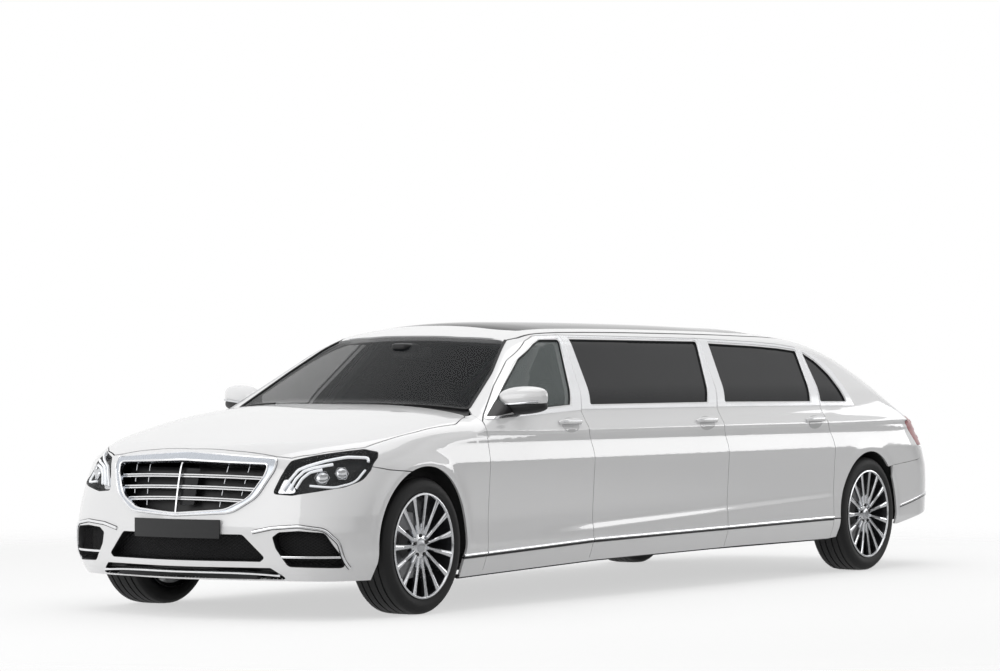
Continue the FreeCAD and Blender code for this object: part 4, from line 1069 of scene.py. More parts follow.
        def seed(x: float, z: float) -> tuple[float, float]:
            """The chart's parameters of the point seen at (x, z) from the side."""
            return tuple(ROUND.read(seen(SIDE, x, z))[0])

        for door, front, back in zip(self.DOORS, self.DOOR_EDGES, self.DOOR_EDGES[1:]):
            plate = Plate(.060, high_wall=.034, slant=(front, back, .29))
            shell, groups = plate.shell(ROUND, *sheet.pick(seed(back + .3, .6)))
            self.car.pair(f"{door}_door_panel", shell, Look.PAINT, f"{door}_door_{{side}}_body",
                          (f"{door}_door_{{side}}",), (Look.LEATHER, groups))
        for name, nodes, place in (("sill", ("sills",), (0., .26)), ("front_fender", ("front_fenders",), (2.6, .85)),
                                   ("body_side", ("side_frames", "rear_quarter_panels"), (-2.4, .86))):
            shell, groups = Plate(.014).shell(ROUND, *sheet.pick(seed(*place)))
            self.car.pair(name, shell, Look.PAINT, BODY, nodes, (Look.UNDER, groups))

    def top(self) -> None:
        """Bonnet, cowl, windscreen, roof with its glass, rear window and the deck of the boot lid."""
        def loop(points: Points, by: float = 0.) -> Array:
            """The loop of a left half seen from above, moved outwards by a distance."""
            return on_skin(PLAN, grown(rounded(self.whole(points), .02), by))

        bonnet, groups = patch(ABOVE, loop(self.BONNET, -GAP / 2), [], Plate(.016), (.03, .02))
        self.car.put("bonnet_panel", bonnet, Look.PAINT, "bonnet_body", ("bonnet",), (Look.UNDER, groups))
        cowl = [(2.155, 0., 2.2), (2.110, .45, .40), (2.018, .80, .02), (1.935, .76), (2.06, .435, .30),
                (2.100, 0., 2.)]
        self.panel("cowl_grille", ABOVE, loop(cowl), Plate(.010, sink=.009), Look.BLACK, (.02, .02),
                   nodes=("windscreen_cowl",))
        self.panel("windscreen_glass", ABOVE, loop(self.SCREEN, -.004), Plate(.006, sink=.002),
                   Look.GLASS_SCREEN, (.012, .012), nodes=("windscreen",))
        self.panel("rear_window_glass", ABOVE, loop(self.BACKLIGHT, -.004), Plate(.006, sink=.002),
                   Look.GLASS_DARK, (.02, .02), nodes=("rear_windows",))
        foot = [(-2.894, 0., 2.), (-2.716, .676), (-2.786, .692), (-2.939, 0., 2.2)]
        shell, groups = patch(ABOVE, loop(foot), [], Plate(.012), (.03, .02))
        self.car.put("rear_window_foot", shell, Look.PAINT, BODY, (), (Look.UNDER, groups))
        roof = [(1.360, 0., 2.), (1.333, .30, .30), (1.262, .548, .02), (1.195, .577, .04), (.9, .585), (-1.6, .585),
                (-1.92, .553, .1), (-1.978, .50, .02), (-2.098, 0., 1.6)]
        glass = [(1.155, 0.), (1.135, .40, .20), (1.06, .495, .06), (-1.53, .495, .03), (-1.56, .46, .05), (-1.565, 0.)]
        shell, groups = patch(ABOVE, loop(roof), [loop(glass, .002)], Plate(.030), (.04, .03))
        self.car.put("roof_panel", shell, Look.PAINT, BODY, ("roof",), (Look.LINING, groups))
        self.panel("roof_glass_panel", ABOVE, loop(glass, -.002), Plate(.006, sink=.001), Look.GLASS_BLACK,
                   (.05, .04), nodes=("roof_glass",))

    def nose(self) -> None:
        """Front bumper with its openings for the grille, lamps and air."""
        fender = line(SIDE, self.FENDER_SEAM)
        low = np.stack([np.linspace(-1.5, 1.5, 90), np.full(90, .193)], 1)
        seams = [(line(PLAN, self.front_edge()), GAP), (fender, GAP), (fender * MIRROR, GAP), (NOSE.place(low), EDGE)]
        left = [line(FRONT, self.LAMP, closed=True), line(FRONT, self.VENT, closed=True), on_skin(SIDE, self.arch(0))]
        cuts = [loop * way for way in BOTH_SIDES for loop in left]
        cuts += [line(FRONT, points, closed=True) for points in (self.GRILLE, self.INTAKE, self.LIP)]
        border = rounded([(-1.5, .15), (1.5, .15), (1.5, .875), (-1.5, .875)], .03)
        sheet = Sheet(NOSE, border, seams, cuts, (.022, .014))
        shell, groups = Plate(.012).shell(NOSE, *sheet.pick((0., .47)))
        self.car.put("front_bumper_skin", shell, Look.PAINT, BODY, ("front_bumper",), (Look.UNDER, groups))

    def tail(self) -> None:
        """Rear bumper, and the boot lid: its deck and its upright face."""
        face = [(-.60, .97), (-.60, .62, .03), (.60, .62, .03), (.60, .97)]
        bumper, under_lamp = line(SIDE, self.BUMPER_SEAM), line(REAR, [(.72, .752), (.595, .745)])
        seams = [(line(REAR, face), GAP)]
        for way in BOTH_SIDES:
            seams += [(bumper * way, self.BUMPER_GAP), (under_lamp * way, GAP)]
        cuts = [loop * way for way in BOTH_SIDES for loop in (self.tail_lamp(), on_skin(SIDE, self.arch(1)))]
        turn = np.linspace(-1.6, 1.6, 120)
        low = np.stack([turn, .352 - .078 * np.clip((np.abs(turn) - .78) / .62, 0, 1) ** 1.2], 1)
        seams += [(TAIL.place(low), EDGE)]
        seams += [(line(SIDE, [(-2.99, .66), (-3.09, .762)]) * way, SLIT) for way in BOTH_SIDES]
        border = rounded([(-1.52, .25), (1.52, .25), (1.52, .94), (-1.52, .94)], .03)
        sheet = Sheet(TAIL, border, seams, cuts, (.022, .014))
        shell, groups = Plate(.012).shell(TAIL, *sheet.pick((0., .45)))
        self.car.put("rear_bumper_skin", shell, Look.PAINT, BODY, ("rear_bumper",), (Look.UNDER, groups))
        face_shell, a = Plate(.016).shell(TAIL, *sheet.pick((0., .80)))
        edge = TAIL.place(np.stack([np.linspace(-1., 1., 201), np.full(201, .94)], 1))
        edge = edge[np.abs(edge[:, 1]) < .5975]
        half = [(-2.79, .70, .02), (-3.24, .705, .15), (-3.33, .60, .05), (-3.40, .60)]
        ring = rounded(flipped(half[::-1]) + [(-2.945, 0., 2.2)] + half, .02, False)
        ring = ring[(ring[:, 0] > edge[:, 0].max()) | (np.abs(ring[:, 1]) > .61)]
        loop = grown(np.vstack([ring, edge[np.argsort(-edge[:, 1]), :2]]), -.002)
        deck, b = patch(ABOVE, on_skin(PLAN, loop), [], Plate(.016), (.03, .02))
        self.car.put("boot_lid_face", face_shell, Look.PAINT, "boot_lid_body", ("boot_lid",), (Look.UNDER, a))
        self.car.put("boot_lid_deck", deck, Look.PAINT, "boot_lid_body", (), (Look.UNDER, b))

    def build(self) -> None:
        """Makes every painted panel."""
        self.side()
        self.top()
        self.nose()
        self.tail()


class Trim(Part):
    """Bright and black trim, glass and handles on the sides."""

    FRONT_FRAME_INSIDE = [(1.952, 1.002, .006), (1.679, 1.153, .50), (1.445, 1.287, .40), (1.197, 1.391, .20),
                          (1.088, 1.419, .10), (.888, 1.425, .006), (1.126, 1.052, .006)]
    HANDLES = ((1.189, .956, "front"), (-.291, .947, "middle"), (-1.603, .936, "rear"))

    def windows(self) -> None:
        """Panes, the rubber round them and the bright frame over it, for every side window."""
        for name, (glass, frame) in BodyShell.WINDOWS.items():
            quarter = name == "quarter"
            body = BODY if quarter else f"{name}_door_{{side}}_body"
            g = rounded(glass, .02)
            ring = on_skin(SIDE, rounded(frame, .02))
            edge = rounded(self.FRONT_FRAME_INSIDE, .02) if name == "front" else grown(g, .009)
            finish = Look.GLASS_FRONT if name == "front" else Look.GLASS_DARK
            nodes = ("rear_windows",) if quarter else (f"{name}_door_glass_{{side}}",)
            self.panel(f"{name}_side_glass", ROUND, on_skin(SIDE, grown(edge, .002)), Plate(.004, sink=.009),
                       finish, (.06, .03), body, nodes, both=True)
            rubber, _ = patch(ROUND, on_skin(SIDE, grown(edge, .004)), [on_skin(SIDE, grown(g, -.003))],
                              Plate(.012, sink=.0015), (.05, .02))
            self.car.pair(f"{name}_window_rubber", rubber, Look.SEAL_AND_PAINTED_SHADOW, body)
            band, _ = patch(ROUND, ring, [on_skin(SIDE, edge)], Plate(.007, sink=-.0035), (.03, .010))
            self.car.pair(f"{name}_window_frame", band, Look.CHROME, body)

    def strips(self) -> None:
        """Bright strip along the foot of the doors with a black painted shadow line under it, the roof ditch and the
        seals behind the shut lines.
        """
        ends = ((2.236, 2.016), (2.004, .963), (.953, -.525), (-.535, -1.833))
        bodies = (BODY, "front_door_{side}_body", "middle_door_{side}_body", "rear_door_{side}_body")
        for k, ((x0, x1), body) in enumerate(zip(ends, bodies)):
            x = np.linspace(x0, x1, 40)
            z = np.interp(x, [-1.72, .956, 2.185], [.345, .322, .287])
            out = np.array([0., .975, .22])
            # The second strip, 12 mm under the bright one, is a black painted shadow line.
            for name, drop, wide, high, finish in (("", 0., .015, .007, Look.CHROME),
                                                   ("_rubber", .012, .010, .006, Look.SEAL_AND_PAINTED_SHADOW)):
                path = seen(SIDE, x, z - drop)
                self.car.pair(f"sill_strip{name}_{k + 1}", sweep(path, out, bar_section(wide, high)), finish, body)
        ditch = line(PLAN, [(1.275, .556), (1.20, .586, .05), (.9, .592), (-1.6, .592), (-1.90, .563, .1),
                                 (-1.985, .507)], .03)
        self.car.pair("roof_ditch", strip(ditch, bar_section(.014, .001, .012), lift=-.001), Look.SEAL_AND_PAINTED_SHADOW)
        screen = line(PLAN, [(2.062, .43, .3), (1.947, .757, .03), (1.60, .674, .6), (1.272, .553, .05)], .03)
        self.car.pair("screen_edge", strip(screen, bar_section(.016, .0035, .006)), Look.SEAL_AND_PAINTED_SHADOW)
        x = np.linspace(-1.86, 2.23, 120)
        foot = seen(SIDE, x, np.interp(x, [-1.81, -.72, .89, 2.0, 2.25], [.213, .215, .203, .175, .168]) + .004)
        self.car.pair("sill_foot", strip(foot, bar_section(.020, .004, .012), lift=-.006), Look.SEAL_AND_PAINTED_SHADOW)
        black = line(SIDE, [(1.955, 1.001, .004), (1.80, 1.086, .01), (1.735, 1.024, .01)], closed=True)
        self.panel("mirror_triangle", ROUND, black, Plate(.010, sink=-.004), Look.BLACK, (.02, .01),
                   "front_door_{side}_body", both=True)
        for k, post in enumerate([BodyShell.DOOR_TOP] + list(BodyShell.POSTS)):
            points = [(p[0], max(p[1], .30), *p[2:]) for p in post] if k else post
            path = line(SIDE, points, .03)
            path = path[path[:, 2] > .30]
            self.car.pair(f"door_seal_{k + 1}", strip(path, bar_section(.030, .006), lift=-.022), Look.SEAL_AND_PAINTED_SHADOW)
        side = line(PLAN, BodyShell.BONNET[1:10], .03)
        self.car.pair("bonnet_seal", strip(side, bar_section(.030, .006), lift=-.026), Look.SEAL_AND_PAINTED_SHADOW)
        front = line(PLAN, BodyShell.front_edge(), .03)
        self.car.put("bonnet_front_seal", strip(front, bar_section(.030, .006), lift=-.026), Look.SEAL_AND_PAINTED_SHADOW)

    def handles(self) -> None:
        """Pull handles: a slim bar on two feet over an oval cup in darker paint, which is painted shade, with a bright
        edge.
        """
        for x, z, door in self.HANDLES:
            body = f"{door}_door_{{side}}_body"
            a = around(48)
            cup = seen(SIDE, x + .086 * np.cos(a), z - .006 + .040 * np.sin(a))
            # The cup's darker paint is painted shade for the hollow behind the handle.
            self.panel(f"{door}_door_handle_cup", ROUND, cup, Plate(.003, sink=-.0012), Look.CUP_PAINTED_SHADE,
                       (.02, .01), body, both=True)
            t = np.linspace(-1, 1, 33)
            path = seen(SIDE, x + .112 * t, z + .006)
            n = Skin.normal(path)
            path = path + n * (.026 * (1 - np.abs(t) ** 6) + .002)[:, None]
            taper = (1 - .35 * np.abs(t) ** 3)[:, None, None]
            section = oval(.0150, .0075, 14)[::-1]
            self.car.pair(f"{door}_door_handle", sweep(path, n, section[None] * taper), Look.PAINT, body)
            edge = sweep(path[2:-2] + n[2:-2] * .0075, n[2:-2], bar_section(.006, .0022))
            self.car.pair(f"{door}_door_handle_edge", edge, Look.CHROME, body)

    def mirrors(self) -> None:
        """Door mirrors: a rounded housing, its black foot, a light strip across the front and the glass behind."""
        low, high = (np.array(v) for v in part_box("door_mirror_left"))
        body = "front_door_{side}_body"
        mid = (low + high) / 2
        centre = np.array([mid[0] + .005, high[1] - .132, high[2] - .074])
        t, u = np.meshgrid(np.linspace(0, 1, 33), around(40), indexing="ij")
        across = np.cos(math.pi * t)                                # +1 outboard end, -1 inboard end
        swell = np.sqrt(np.clip(1 - across ** 2, 0, 1)) ** .55
        tall = .076 * swell * (1 - .16 * (across + 1) / 2)
        deep = .060 * swell * (1 - .22 * (across + 1) / 2)
        bend = signed(np.cos(u), .8)
        x = centre[0] + deep * bend * np.where(bend > 0, 1.15, .75) - .050 * (across + 1) / 2
        y = centre[1] + .132 * across
        z = centre[2] + tall * signed(np.sin(u), .85) + .012 * across
        pts = np.stack([x, y, z], -1)
        shell = capped(pts[1:-1], turned=True, mids=np.stack([pts[0].mean(0), pts[-1].mean(0)]))
        self.car.pair("door_mirror_housing", shell, Look.PAINT, body, ("door_mirror_{side}",))
        lower = Shell((shell.verts - centre) * [1.04, .985, .58] + centre - [.001, 0., .040], shell.faces)
        self.car.pair("door_mirror_lower", lower, Look.BLACK, body)
        glass = lump((.006, .102, .052), (centre[0] - .058, centre[1] - .004, centre[2]), 5.)
        self.car.pair("door_mirror_glass", glass, Look.CHROME, body)
        s = np.linspace(-.92, .86, 30)
        path = np.stack([centre[0] + .066 * np.sqrt(1 - s ** 2 * .98) ** .55 - .050 * (s + 1) / 2 + .002,
                         centre[1] + .128 * s, centre[2] - .022 + .012 * s], 1)
        self.car.pair("door_mirror_light", sweep(path, AHEAD, bar_section(.011, .004)), Look.REFLECTOR, body)
        skin = seen(SIDE, centre[0] + .015, 1.035)[0]
        foot = np.stack([np.linspace(skin[0], centre[0], 12), np.linspace(skin[1] - .02, centre[1] - .06, 12),
                         np.linspace(1.030, centre[2] - .050, 12)], 1)
        self.car.pair("door_mirror_arm", sweep(foot, UP, oval(.040, .013, 16)[::-1]), Look.BLACK, body)

    def build(self) -> None:
        """Makes all of the trim."""
        self.windows()
        self.strips()
        self.handles()
        self.mirrors()


class Face(Part):
    """Grille, headlamps, air intakes, number plates and lip."""

    LOUVRES = ((.712, .446), (.655, .418), (.598, .372))                # height, half length
    BEAMS = ([(.562, .655), (.587, .705, .05), (.618, .757, .03), (.654, .779, .05), (.718, .807, .08),
              (.788, .828, .08), (.855, .822, .03), (.868, .800)],
             [(.597, .659), (.617, .713, .05), (.648, .752, .03), (.687, .771, .05), (.760, .790)],
             [(.626, .664), (.646, .714, .05), (.676, .745, .03), (.728, .761)],
             [(.690, .678), (.80, .668, .08), (.862, .690, .05), (.879, .752)])

    @staticmethod
    def front(points: Points, step: float = .012) -> Array:
        """A loop drawn from the front, on the skin."""
        return line(FRONT, points, step, closed=True)

    def grille(self) -> None:
        """Bright frame, black core behind it, three twin louvres, a middle bar and short upright ticks."""
        loop = rounded(BodyShell.GRILLE, .012)
        opening = rounded([(-.470, .774, .02), (-.460, .72, .10), (-.398, .612, .12), (-.28, .552, .14),
                           (0., .532, .60), (.28, .552, .14), (.398, .612, .12), (.460, .72, .10),
                           (.470, .774, .02), (0., .791, .90)], .012)
        frame, _ = patch(NOSE, on_skin(FRONT, grown(loop, -.0015)), [on_skin(FRONT, opening)],
                         Plate(.020, sink=-.006), (.014, .010))
        self.car.put("grille_frame", frame, Look.BAND, BODY, ("radiator_grille",))
        for by, name in ((.004, "grille_frame_inner_edge"), (None, "grille_frame_outer_edge")):
            path = on_skin(FRONT, grown(opening, by) if by else grown(loop, -.006))
            self.car.put(name, strip(path, tube_section(.0055), True, .006), Look.CHROME)
        self.panel("grille_core", NOSE, on_skin(FRONT, grown(opening, .02)), Plate(.010, sink=.075),
                   Look.BLACK, (.03, .02))
        y = np.linspace(-1, 1, 61)
        bars, blades = [], []
        for z, half in self.LOUVRES:
            for lift in (.0055, -.0055):
                path = seen(FRONT, half * y, z + lift + .010 * (1 - y ** 2) - .004)
                bars.append(sweep(path - [.016, 0, 0], np.array([1., 0., .15]), tube_section(.0042)))
            path = seen(FRONT, half * y, z + .010 * (1 - y ** 2) - .004)
            blades.append(sweep(path - [.040, 0, 0], UP, bar_section(.045, .006)))
        self.car.put("grille_louvres", joined(bars), Look.CHROME)
        self.car.put("grille_blades", joined(blades), Look.GLOSS)
        z = np.linspace(.529, .781, 30)
        middle = seen(FRONT, 0., z) - [.006, 0, 0]
        self.car.put("grille_middle_bar", sweep(middle, AHEAD, bar_section(.010, .008)), Look.CHROME)
        ticks = []
        for y0 in (-.36, -.25, -.14, .14, .25, .36):
            for z0, z1 in ((.735, .768), (.678, .706), (.620, .650), (.562, .590)):
                if abs(y0) < .2 and z0 > .56 or abs(y0) > .3 and z0 < .60:
                    continue
                z = np.linspace(z0, z1, 5)
                path = seen(FRONT, y0 * (1 - .35 * (.76 - z)), z) - [.030, 0, 0]
                ticks.append(sweep(path, AHEAD, bar_section(.004, .004)))
        self.car.put("grille_ticks", joined(ticks), Look.SATIN)
        cover = self.front([(.006, .765, .01), (.105, .762, .01), (.094, .575, .01), (.006, .572, .01)])
        self.panel("grille_sensor_cover", NOSE, cover, Plate(.004, sink=.024), Look.GLASS_DARK, (.02, .02))

    def lamps(self) -> None:
        """Headlamps: dark bowl, three light strips swept upwards and outwards, two lenses, a low strip, the lens."""
        loop = rounded(BodyShell.LAMP, .012)
        self.panel("headlamp_lens", NOSE, on_skin(FRONT, grown(loop, -.003)), Plate(.003),
                   Look.LENS, nodes=("headlights",), both=True)
        self.panel("headlamp_bowl", NOSE, on_skin(FRONT, grown(loop, .004)), Plate(.004, sink=.058),
                   Look.BOWL, both=True)
        wall = on_skin(FRONT, grown(loop, -.002))
        n = Skin.normal(wall)
        depth = np.linspace(.003, .060, 4)
        skirt = grid(np.stack([wall - n * d for d in depth] + [wall - n * d - unit(wall - wall.mean(0)) * -.004
                                                             for d in depth[::-1]], 1), closed_u=True, closed_v=True)
        self.car.pair("headlamp_surround", skirt, Look.BOWL)
        strips = []
        for points in self.BEAMS:
            path = line(FRONT, points, .010)
            m = Skin.normal(path)
            strips.append(sweep(path - m * .020, m, bar_section(.012 if points[0][1] < .67 else .010, .008)))
        self.car.pair("headlamp_light_strips", joined(strips), Look.LED)
        for k, (y, z, r) in enumerate(((.736, .722, .031), (.812, .742, .029))):
            p = seen(FRONT, y, z)[0]
            m = Skin.normal(p[None])[0]
            eye = lump((.016, r, r), (0., 0., 0.), 2., 14)
            across = unit(np.cross(UP, m))
            spin = np.stack([m, across, np.cross(m, across)])
            placed = Shell(eye.verts @ spin + p - m * .034, eye.faces)
            self.car.pair(f"headlamp_projector_{k + 1}", placed, Look.REFLECTOR)
            a = around(6)
            ring = np.stack([0 * a, r * 1.22 * np.cos(a), r * 1.22 * np.sin(a)], 1) @ spin + p - m * .032
            self.car.pair(f"headlamp_projector_frame_{k + 1}", sweep(ring, m, tube_section(.0028, 6), True),
                          Look.REFLECTOR)
        corner = self.front([(.530, .640, .01), (.552, .705, .02), (.572, .715, .02), (.640, .642, .02)])
        self.panel("headlamp_corner_reflector", NOSE, corner, Plate(.004, sink=.030), Look.REFLECTOR, both=True)

    def mesh_panel(self, name: str, points: Points, sink: float, pitch: float, both: bool) -> None:
        """A diamond mesh behind an opening: two families of slanting bars in front of a black back plate.

        Args:
            name: Start of the names of its pieces.
            points: The opening, seen from the front.
            sink: How far behind the skin it lies.
            pitch: Upright distance from bar to bar.
            both: Whether it is made for the left and the right side.
        """
        loop = rounded(points, .02)
        low, high = loop.min(0), loop.max(0)
        bars = []
        for slope in (.62, -.62):
            for c in np.arange(low[1] - (high[0] - low[0]), high[1] + (high[0] - low[0]), pitch):
                y = np.linspace(low[0], high[0], 90)
                z = c + slope * (y - (low[0] if slope > 0 else high[0]))
                keep = inside(loop, np.stack([y, z], 1))
                if keep.sum() < 3:
                    continue
                path = seen(FRONT, y[keep], z[keep]) - [sink, 0, 0]
                path = path[::3] if keep.sum() > 6 else path
                bars.append(sweep(path, AHEAD, tube_section(.0016, 4)))
        (self.car.pair if both else self.car.put)(f"{name}_mesh", joined(bars), Look.BLACK)
        self.panel(f"{name}_back", NOSE, on_skin(FRONT, grown(loop, .012)),
                   Plate(.006, sink=sink + .030), Look.SEAL_AND_PAINTED_SHADOW, (.03, .02), both=both)

    def openings(self) -> None:
        """Lower intake, side vents with their bright trim over a wider black painted shadow outline, the black lip with
        its bright strip, the plates.
        """
        self.mesh_panel("lower_intake", BodyShell.INTAKE, .040, .017, False)
        self.mesh_panel("side_vent", BodyShell.VENT, .045, .015, True)
        for name, points, both in (("lower_intake", BodyShell.INTAKE, False), ("side_vent", BodyShell.VENT, True),
                                   ("front_lip", BodyShell.LIP, False)):
            ring = on_skin(FRONT, rounded(points, .012))
            n = Skin.normal(ring)
            inward = unit(ring.mean(0) - ring) * .003
            skirt = grid(np.stack([ring - n * .002, ring - n * .075, ring - n * .075 + inward,
                                   ring - n * .002 + inward], 1), closed_u=True, closed_v=True)
            (self.car.pair if both else self.car.put)(f"{name}_surround", skirt, Look.BLACK)
        self.panel("front_lip_black", NOSE, self.front(BodyShell.LIP), Plate(.006, sink=.028), Look.BLACK, (.03, .02))
        y = np.linspace(-.56, .56, 80)
        path = seen(FRONT, y, .238 - .012 * (y / .56) ** 4)
        self.car.put("front_lip_strip", strip(path, bar_section(.010, .014, .012), lift=-.004), Look.CHROME)
        top = line(FRONT, [(.433, .440), (.536, .462, .10), (.671, .472, .10), (.790, .455, .06),
                                (.838, .390, .08), (.857, .262)], .012)
        self.car.pair("side_vent_trim", strip(top, bar_section(.014, .008)), Look.CHROME)
        # A wider black strip under the bright trim: a painted shadow outline.
        self.car.pair("side_vent_trim_painted_shadow", strip(top, bar_section(.020, .002)), Look.SEAL_AND_PAINTED_SHADOW)
        y = np.linspace(.535, .846, 40)
        blade = seen(FRONT, y, .317)
        self.car.pair("side_vent_blade", strip(blade, bar_section(.012, .010, .010), lift=-.012), Look.CHROME)
        y, z = np.meshgrid(np.linspace(-.27, .27, 30), np.linspace(.406, .500, 9), indexing="ij")
        x = np.full_like(y, 3.496) - .026 * (y / .26) ** 2
        front = np.stack([x, y, z], -1)
        back = front - [.010, 0, 0]
        plate = grid(np.hstack([front, back[:, ::-1]]), closed_v=True)
        m = front.shape[1]
        ends = [np.array([[k, k + 1, 2 * m - 2 - k, 2 * m - 1 - k] for k in range(m - 1)]) + at
                for at in (0, (len(front) - 1) * 2 * m)]
        self.car.put("front_plate_blank", Shell(plate.verts, [plate.faces[0][:, ::-1], ends[0], ends[1][:, ::-1]]),
                     Look.PLATE)

    def build(self) -> None:
        """Makes the whole front."""
        self.grille()
        self.lamps()
        self.openings()


class Stern(Part):
    """Tail lamps, bright strips, a black painted shadow line under the bumper's strip, plate recess and exhaust tips at
    the back.
    """

    def build(self) -> None:
        """Makes the rear details."""
        self.panel("tail_lamp_lens", TAIL, BodyShell.tail_lamp(-.003), Plate(.010), Look.RED,
                   nodes=("tail_lights",), both=True)
        bands = []
        for z0, z1, y0, y1 in ((.905, .915, .635, .790), (.858, .868, .640, .800), (.805, .815, .645, .812)):
            t = np.linspace(0, 1, 26)
            path = seen(REAR, y0 + (y1 - y0) * t, z0 + (z1 - z0) * t)
            bands.append(strip(path, bar_section(.024, .004)))
        self.car.pair("tail_lamp_bands", joined(bands), Look.RED_LIGHT)
        y = np.linspace(-.58, .58, 60)
        path = seen(REAR, y, .845 - .020 * (y / .58) ** 2)
        self.car.put("boot_lid_strip", strip(path, bar_section(.018, .008)), Look.CHROME, "boot_lid_body")
        u = np.linspace(-1.385, 1.385, 170)
        z = knots([0., .6, 1.006, 1.218, 1.4], [.468, .462, .447, .415, .388], np.abs(u))
        path = TAIL.place(np.stack([u, z], 1))
        self.car.put("rear_bumper_strip", strip(path, bar_section(.012, .006)), Look.CHROME)
        # A thin black strip just under the bright strip: a painted shadow line.
        path = TAIL.place(np.stack([u, z - .009], 1))
        self.car.put("rear_bumper_strip_painted_shadow", strip(path, bar_section(.007, .003)), Look.SEAL_AND_PAINTED_SHADOW)
        recess = line(REAR, [(-.29, .66, .02), (.29, .66, .02), (.29, .80, .02), (-.29, .80, .02)], closed=True)
        self.panel("rear_plate_recess", TAIL, recess, Plate(.004, sink=-.0015), Look.BLACK, (.03, .02), "boot_lid_body")
        plate = line(REAR, [(-.26, .675, .008), (.26, .675, .008), (.26, .785, .008), (-.26, .785, .008)], closed=True)
        self.panel("rear_plate_blank", TAIL, plate, Plate(.003, sink=-.006), Look.PLATE, (.03, .02), "boot_lid_body")
        apron = line(REAR, [(-.64, .312, .01), (.64, .312, .01), (.60, .362, .02), (-.60, .362, .02)], closed=True)
        self.panel("rear_apron_black", TAIL, apron, Plate(.004, sink=-.002), Look.BLACK, (.03, .012))
        self.block("exhaust_silencer", (.20, .50, .045), (-3.02, 0., .382), 5., 24, Look.STEEL, ("exhaust",))
        ring = np.insert(oval(.085, .026, 40, .6), 0, 0., 1) + seen(REAR, .62, .337)[0]
        tip = sweep(ring + [.002, -.10, -.002], np.array([-1., 0., 0.]), bar_section(.010, .020, .020), True)
        self.car.pair("exhaust_tip", tip, Look.CHROME)


@dataclass
class Wheel:
    """One wheel: tyre with grooves, rim barrel, fifteen spokes, cap, bolts and brake disc. Local Y outwards."""

    tyre_radius: float = WHEEL_Z
    half_width: float = .1225
    rim_radius: float = .272
    spokes: int = 15

    def tyre(self) -> Shell:
        """A lathed tyre: flat tread with four grooves, rounded shoulders, bulged walls with a raised ring."""
        r, w = self.tyre_radius, self.half_width
        half = [(r, .0), (r, .018), (r - .007, .019), (r - .007, .026), (r, .027), (r - .0005, .058),
                (r - .007, .059), (r - .007, .066), (r - .001, .067), (r - .004, .095, .02), (r - .018, .113, .03),
                (r - .045, w, .04), (self.rim_radius + .012, w - .006, .02), (self.rim_radius - .006, w - .016),
                (self.rim_radius - .012, w - .030)]
        return lathe(flipped(half[:0:-1]) + half, 128, .006)

    def rim(self) -> Shell:
        """The lathed barrel with its outer lip."""
        r, w = self.rim_radius, self.half_width
        return lathe([(r - .002, w - .018), (r, w - .010, .003), (r - .006, w - .005, .003), (r - .013, w - .010),
                      (r - .020, w - .045, .02), (r - .032, .0, .03), (r - .032, -w + .02), (r - .012, -w + .012),
                      (r - .008, -w + .006), (r - .012, -w + .0), (r - .016, -.02), (r - .014, w - .030)], 96, .01)

    def spoke_set(self) -> Shell:
        """Spokes: a slim section from hub to rim, dished inwards, wider where it meets the rim."""
        t = np.linspace(0, 1, 18)
        made = []
        for k in range(self.spokes):
            a0 = 2 * math.pi * k / self.spokes
            r = .066 + (self.rim_radius - .012 - .066) * t
            a = a0 + 0 * t
            y = .088 + .018 * t
            path = np.stack([r * np.cos(a), y, r * np.sin(a)], 1)
            width = (.0098 + .0018 * t + .0060 * t ** 4)[:, None]
            depth = .016 + .010 * (1 - t)[:, None]
            unit_section = np.array([[1., -1.], [.92, .55], [.45, 1.], [-.45, 1.], [-.92, .55], [-1., -1.]])[::-1]
            section = np.stack([unit_section[None, :, 0] * width, unit_section[None, :, 1] * depth * .5], -1)
            made.append(sweep(path, OUTWARDS, section))
        return joined(made)

    def build(self, car: Car, where: str, centre: tuple[float, float, float]) -> None:
        """Makes the wheel and its mirror image.

        Args:
            car: The car that it goes into.
            where: "front" or "rear".
            centre: Its middle on the left side.
        """
        def pair(name: str, shell: Shell, finish: Finish, nodes: tuple[str, ...] = ()) -> None:
            """Puts one piece, made about the origin, on both wheels."""
            car.pair(f"{where}_{name}", shell.moved(centre), finish, f"{where}_wheel_{{side}}_body", nodes)

        pair("tyre_tread", self.tyre(), Look.TYRE, (f"{where}_tyre_{{side}}",))
        pair("wheel_barrel", self.rim(), Look.POCKET, (f"{where}_wheel_{{side}}",))
        lip = lathe([(self.rim_radius - .0015, self.half_width - .012), (self.rim_radius, self.half_width - .006, .002),
                     (self.rim_radius - .010, self.half_width - .002, .003),
                     (self.rim_radius - .014, self.half_width - .012)], 96, .004)
        pair("wheel_lip", lip, Look.ALLOY)
        pair("wheel_spokes", self.spoke_set(), Look.ALLOY)
        pair("wheel_hub", lathe([(.0, .050), (.0, .094), (.040, .094, .01), (.070, .089, .01), (.074, .060)], 48,
                                .006, ends=False), Look.ALLOY)
        pair("wheel_cap", lathe([(.0, .090), (.0, .1015), (.020, .101, .01), (.033, .0965, .004), (.035, .090)], 48,
                                .004, ends=False), Look.SATIN)
        bolt = lathe([(.0, .080), (.0, .099), (.0085, .099, .002), (.0105, .095), (.0105, .080)], 12, .002, ends=False)
        bolts = [bolt.moved((.053 * math.cos(a), 0., .053 * math.sin(a))) for a in around(5) + .3]
        pair("wheel_bolts", joined(bolts), Look.BLACK)
        pair("brake_disc", lathe([(.075, -.012), (.172, -.012, .002), (.172, .014, .002), (.075, .014)], 80, .004),
             Look.DISC)
        pair("disc_bell", lathe([(.0, -.01), (.0, .055), (.060, .055, .01), (.082, .012, .01), (.082, -.01)], 48,
                                .006, ends=False), Look.CAST)


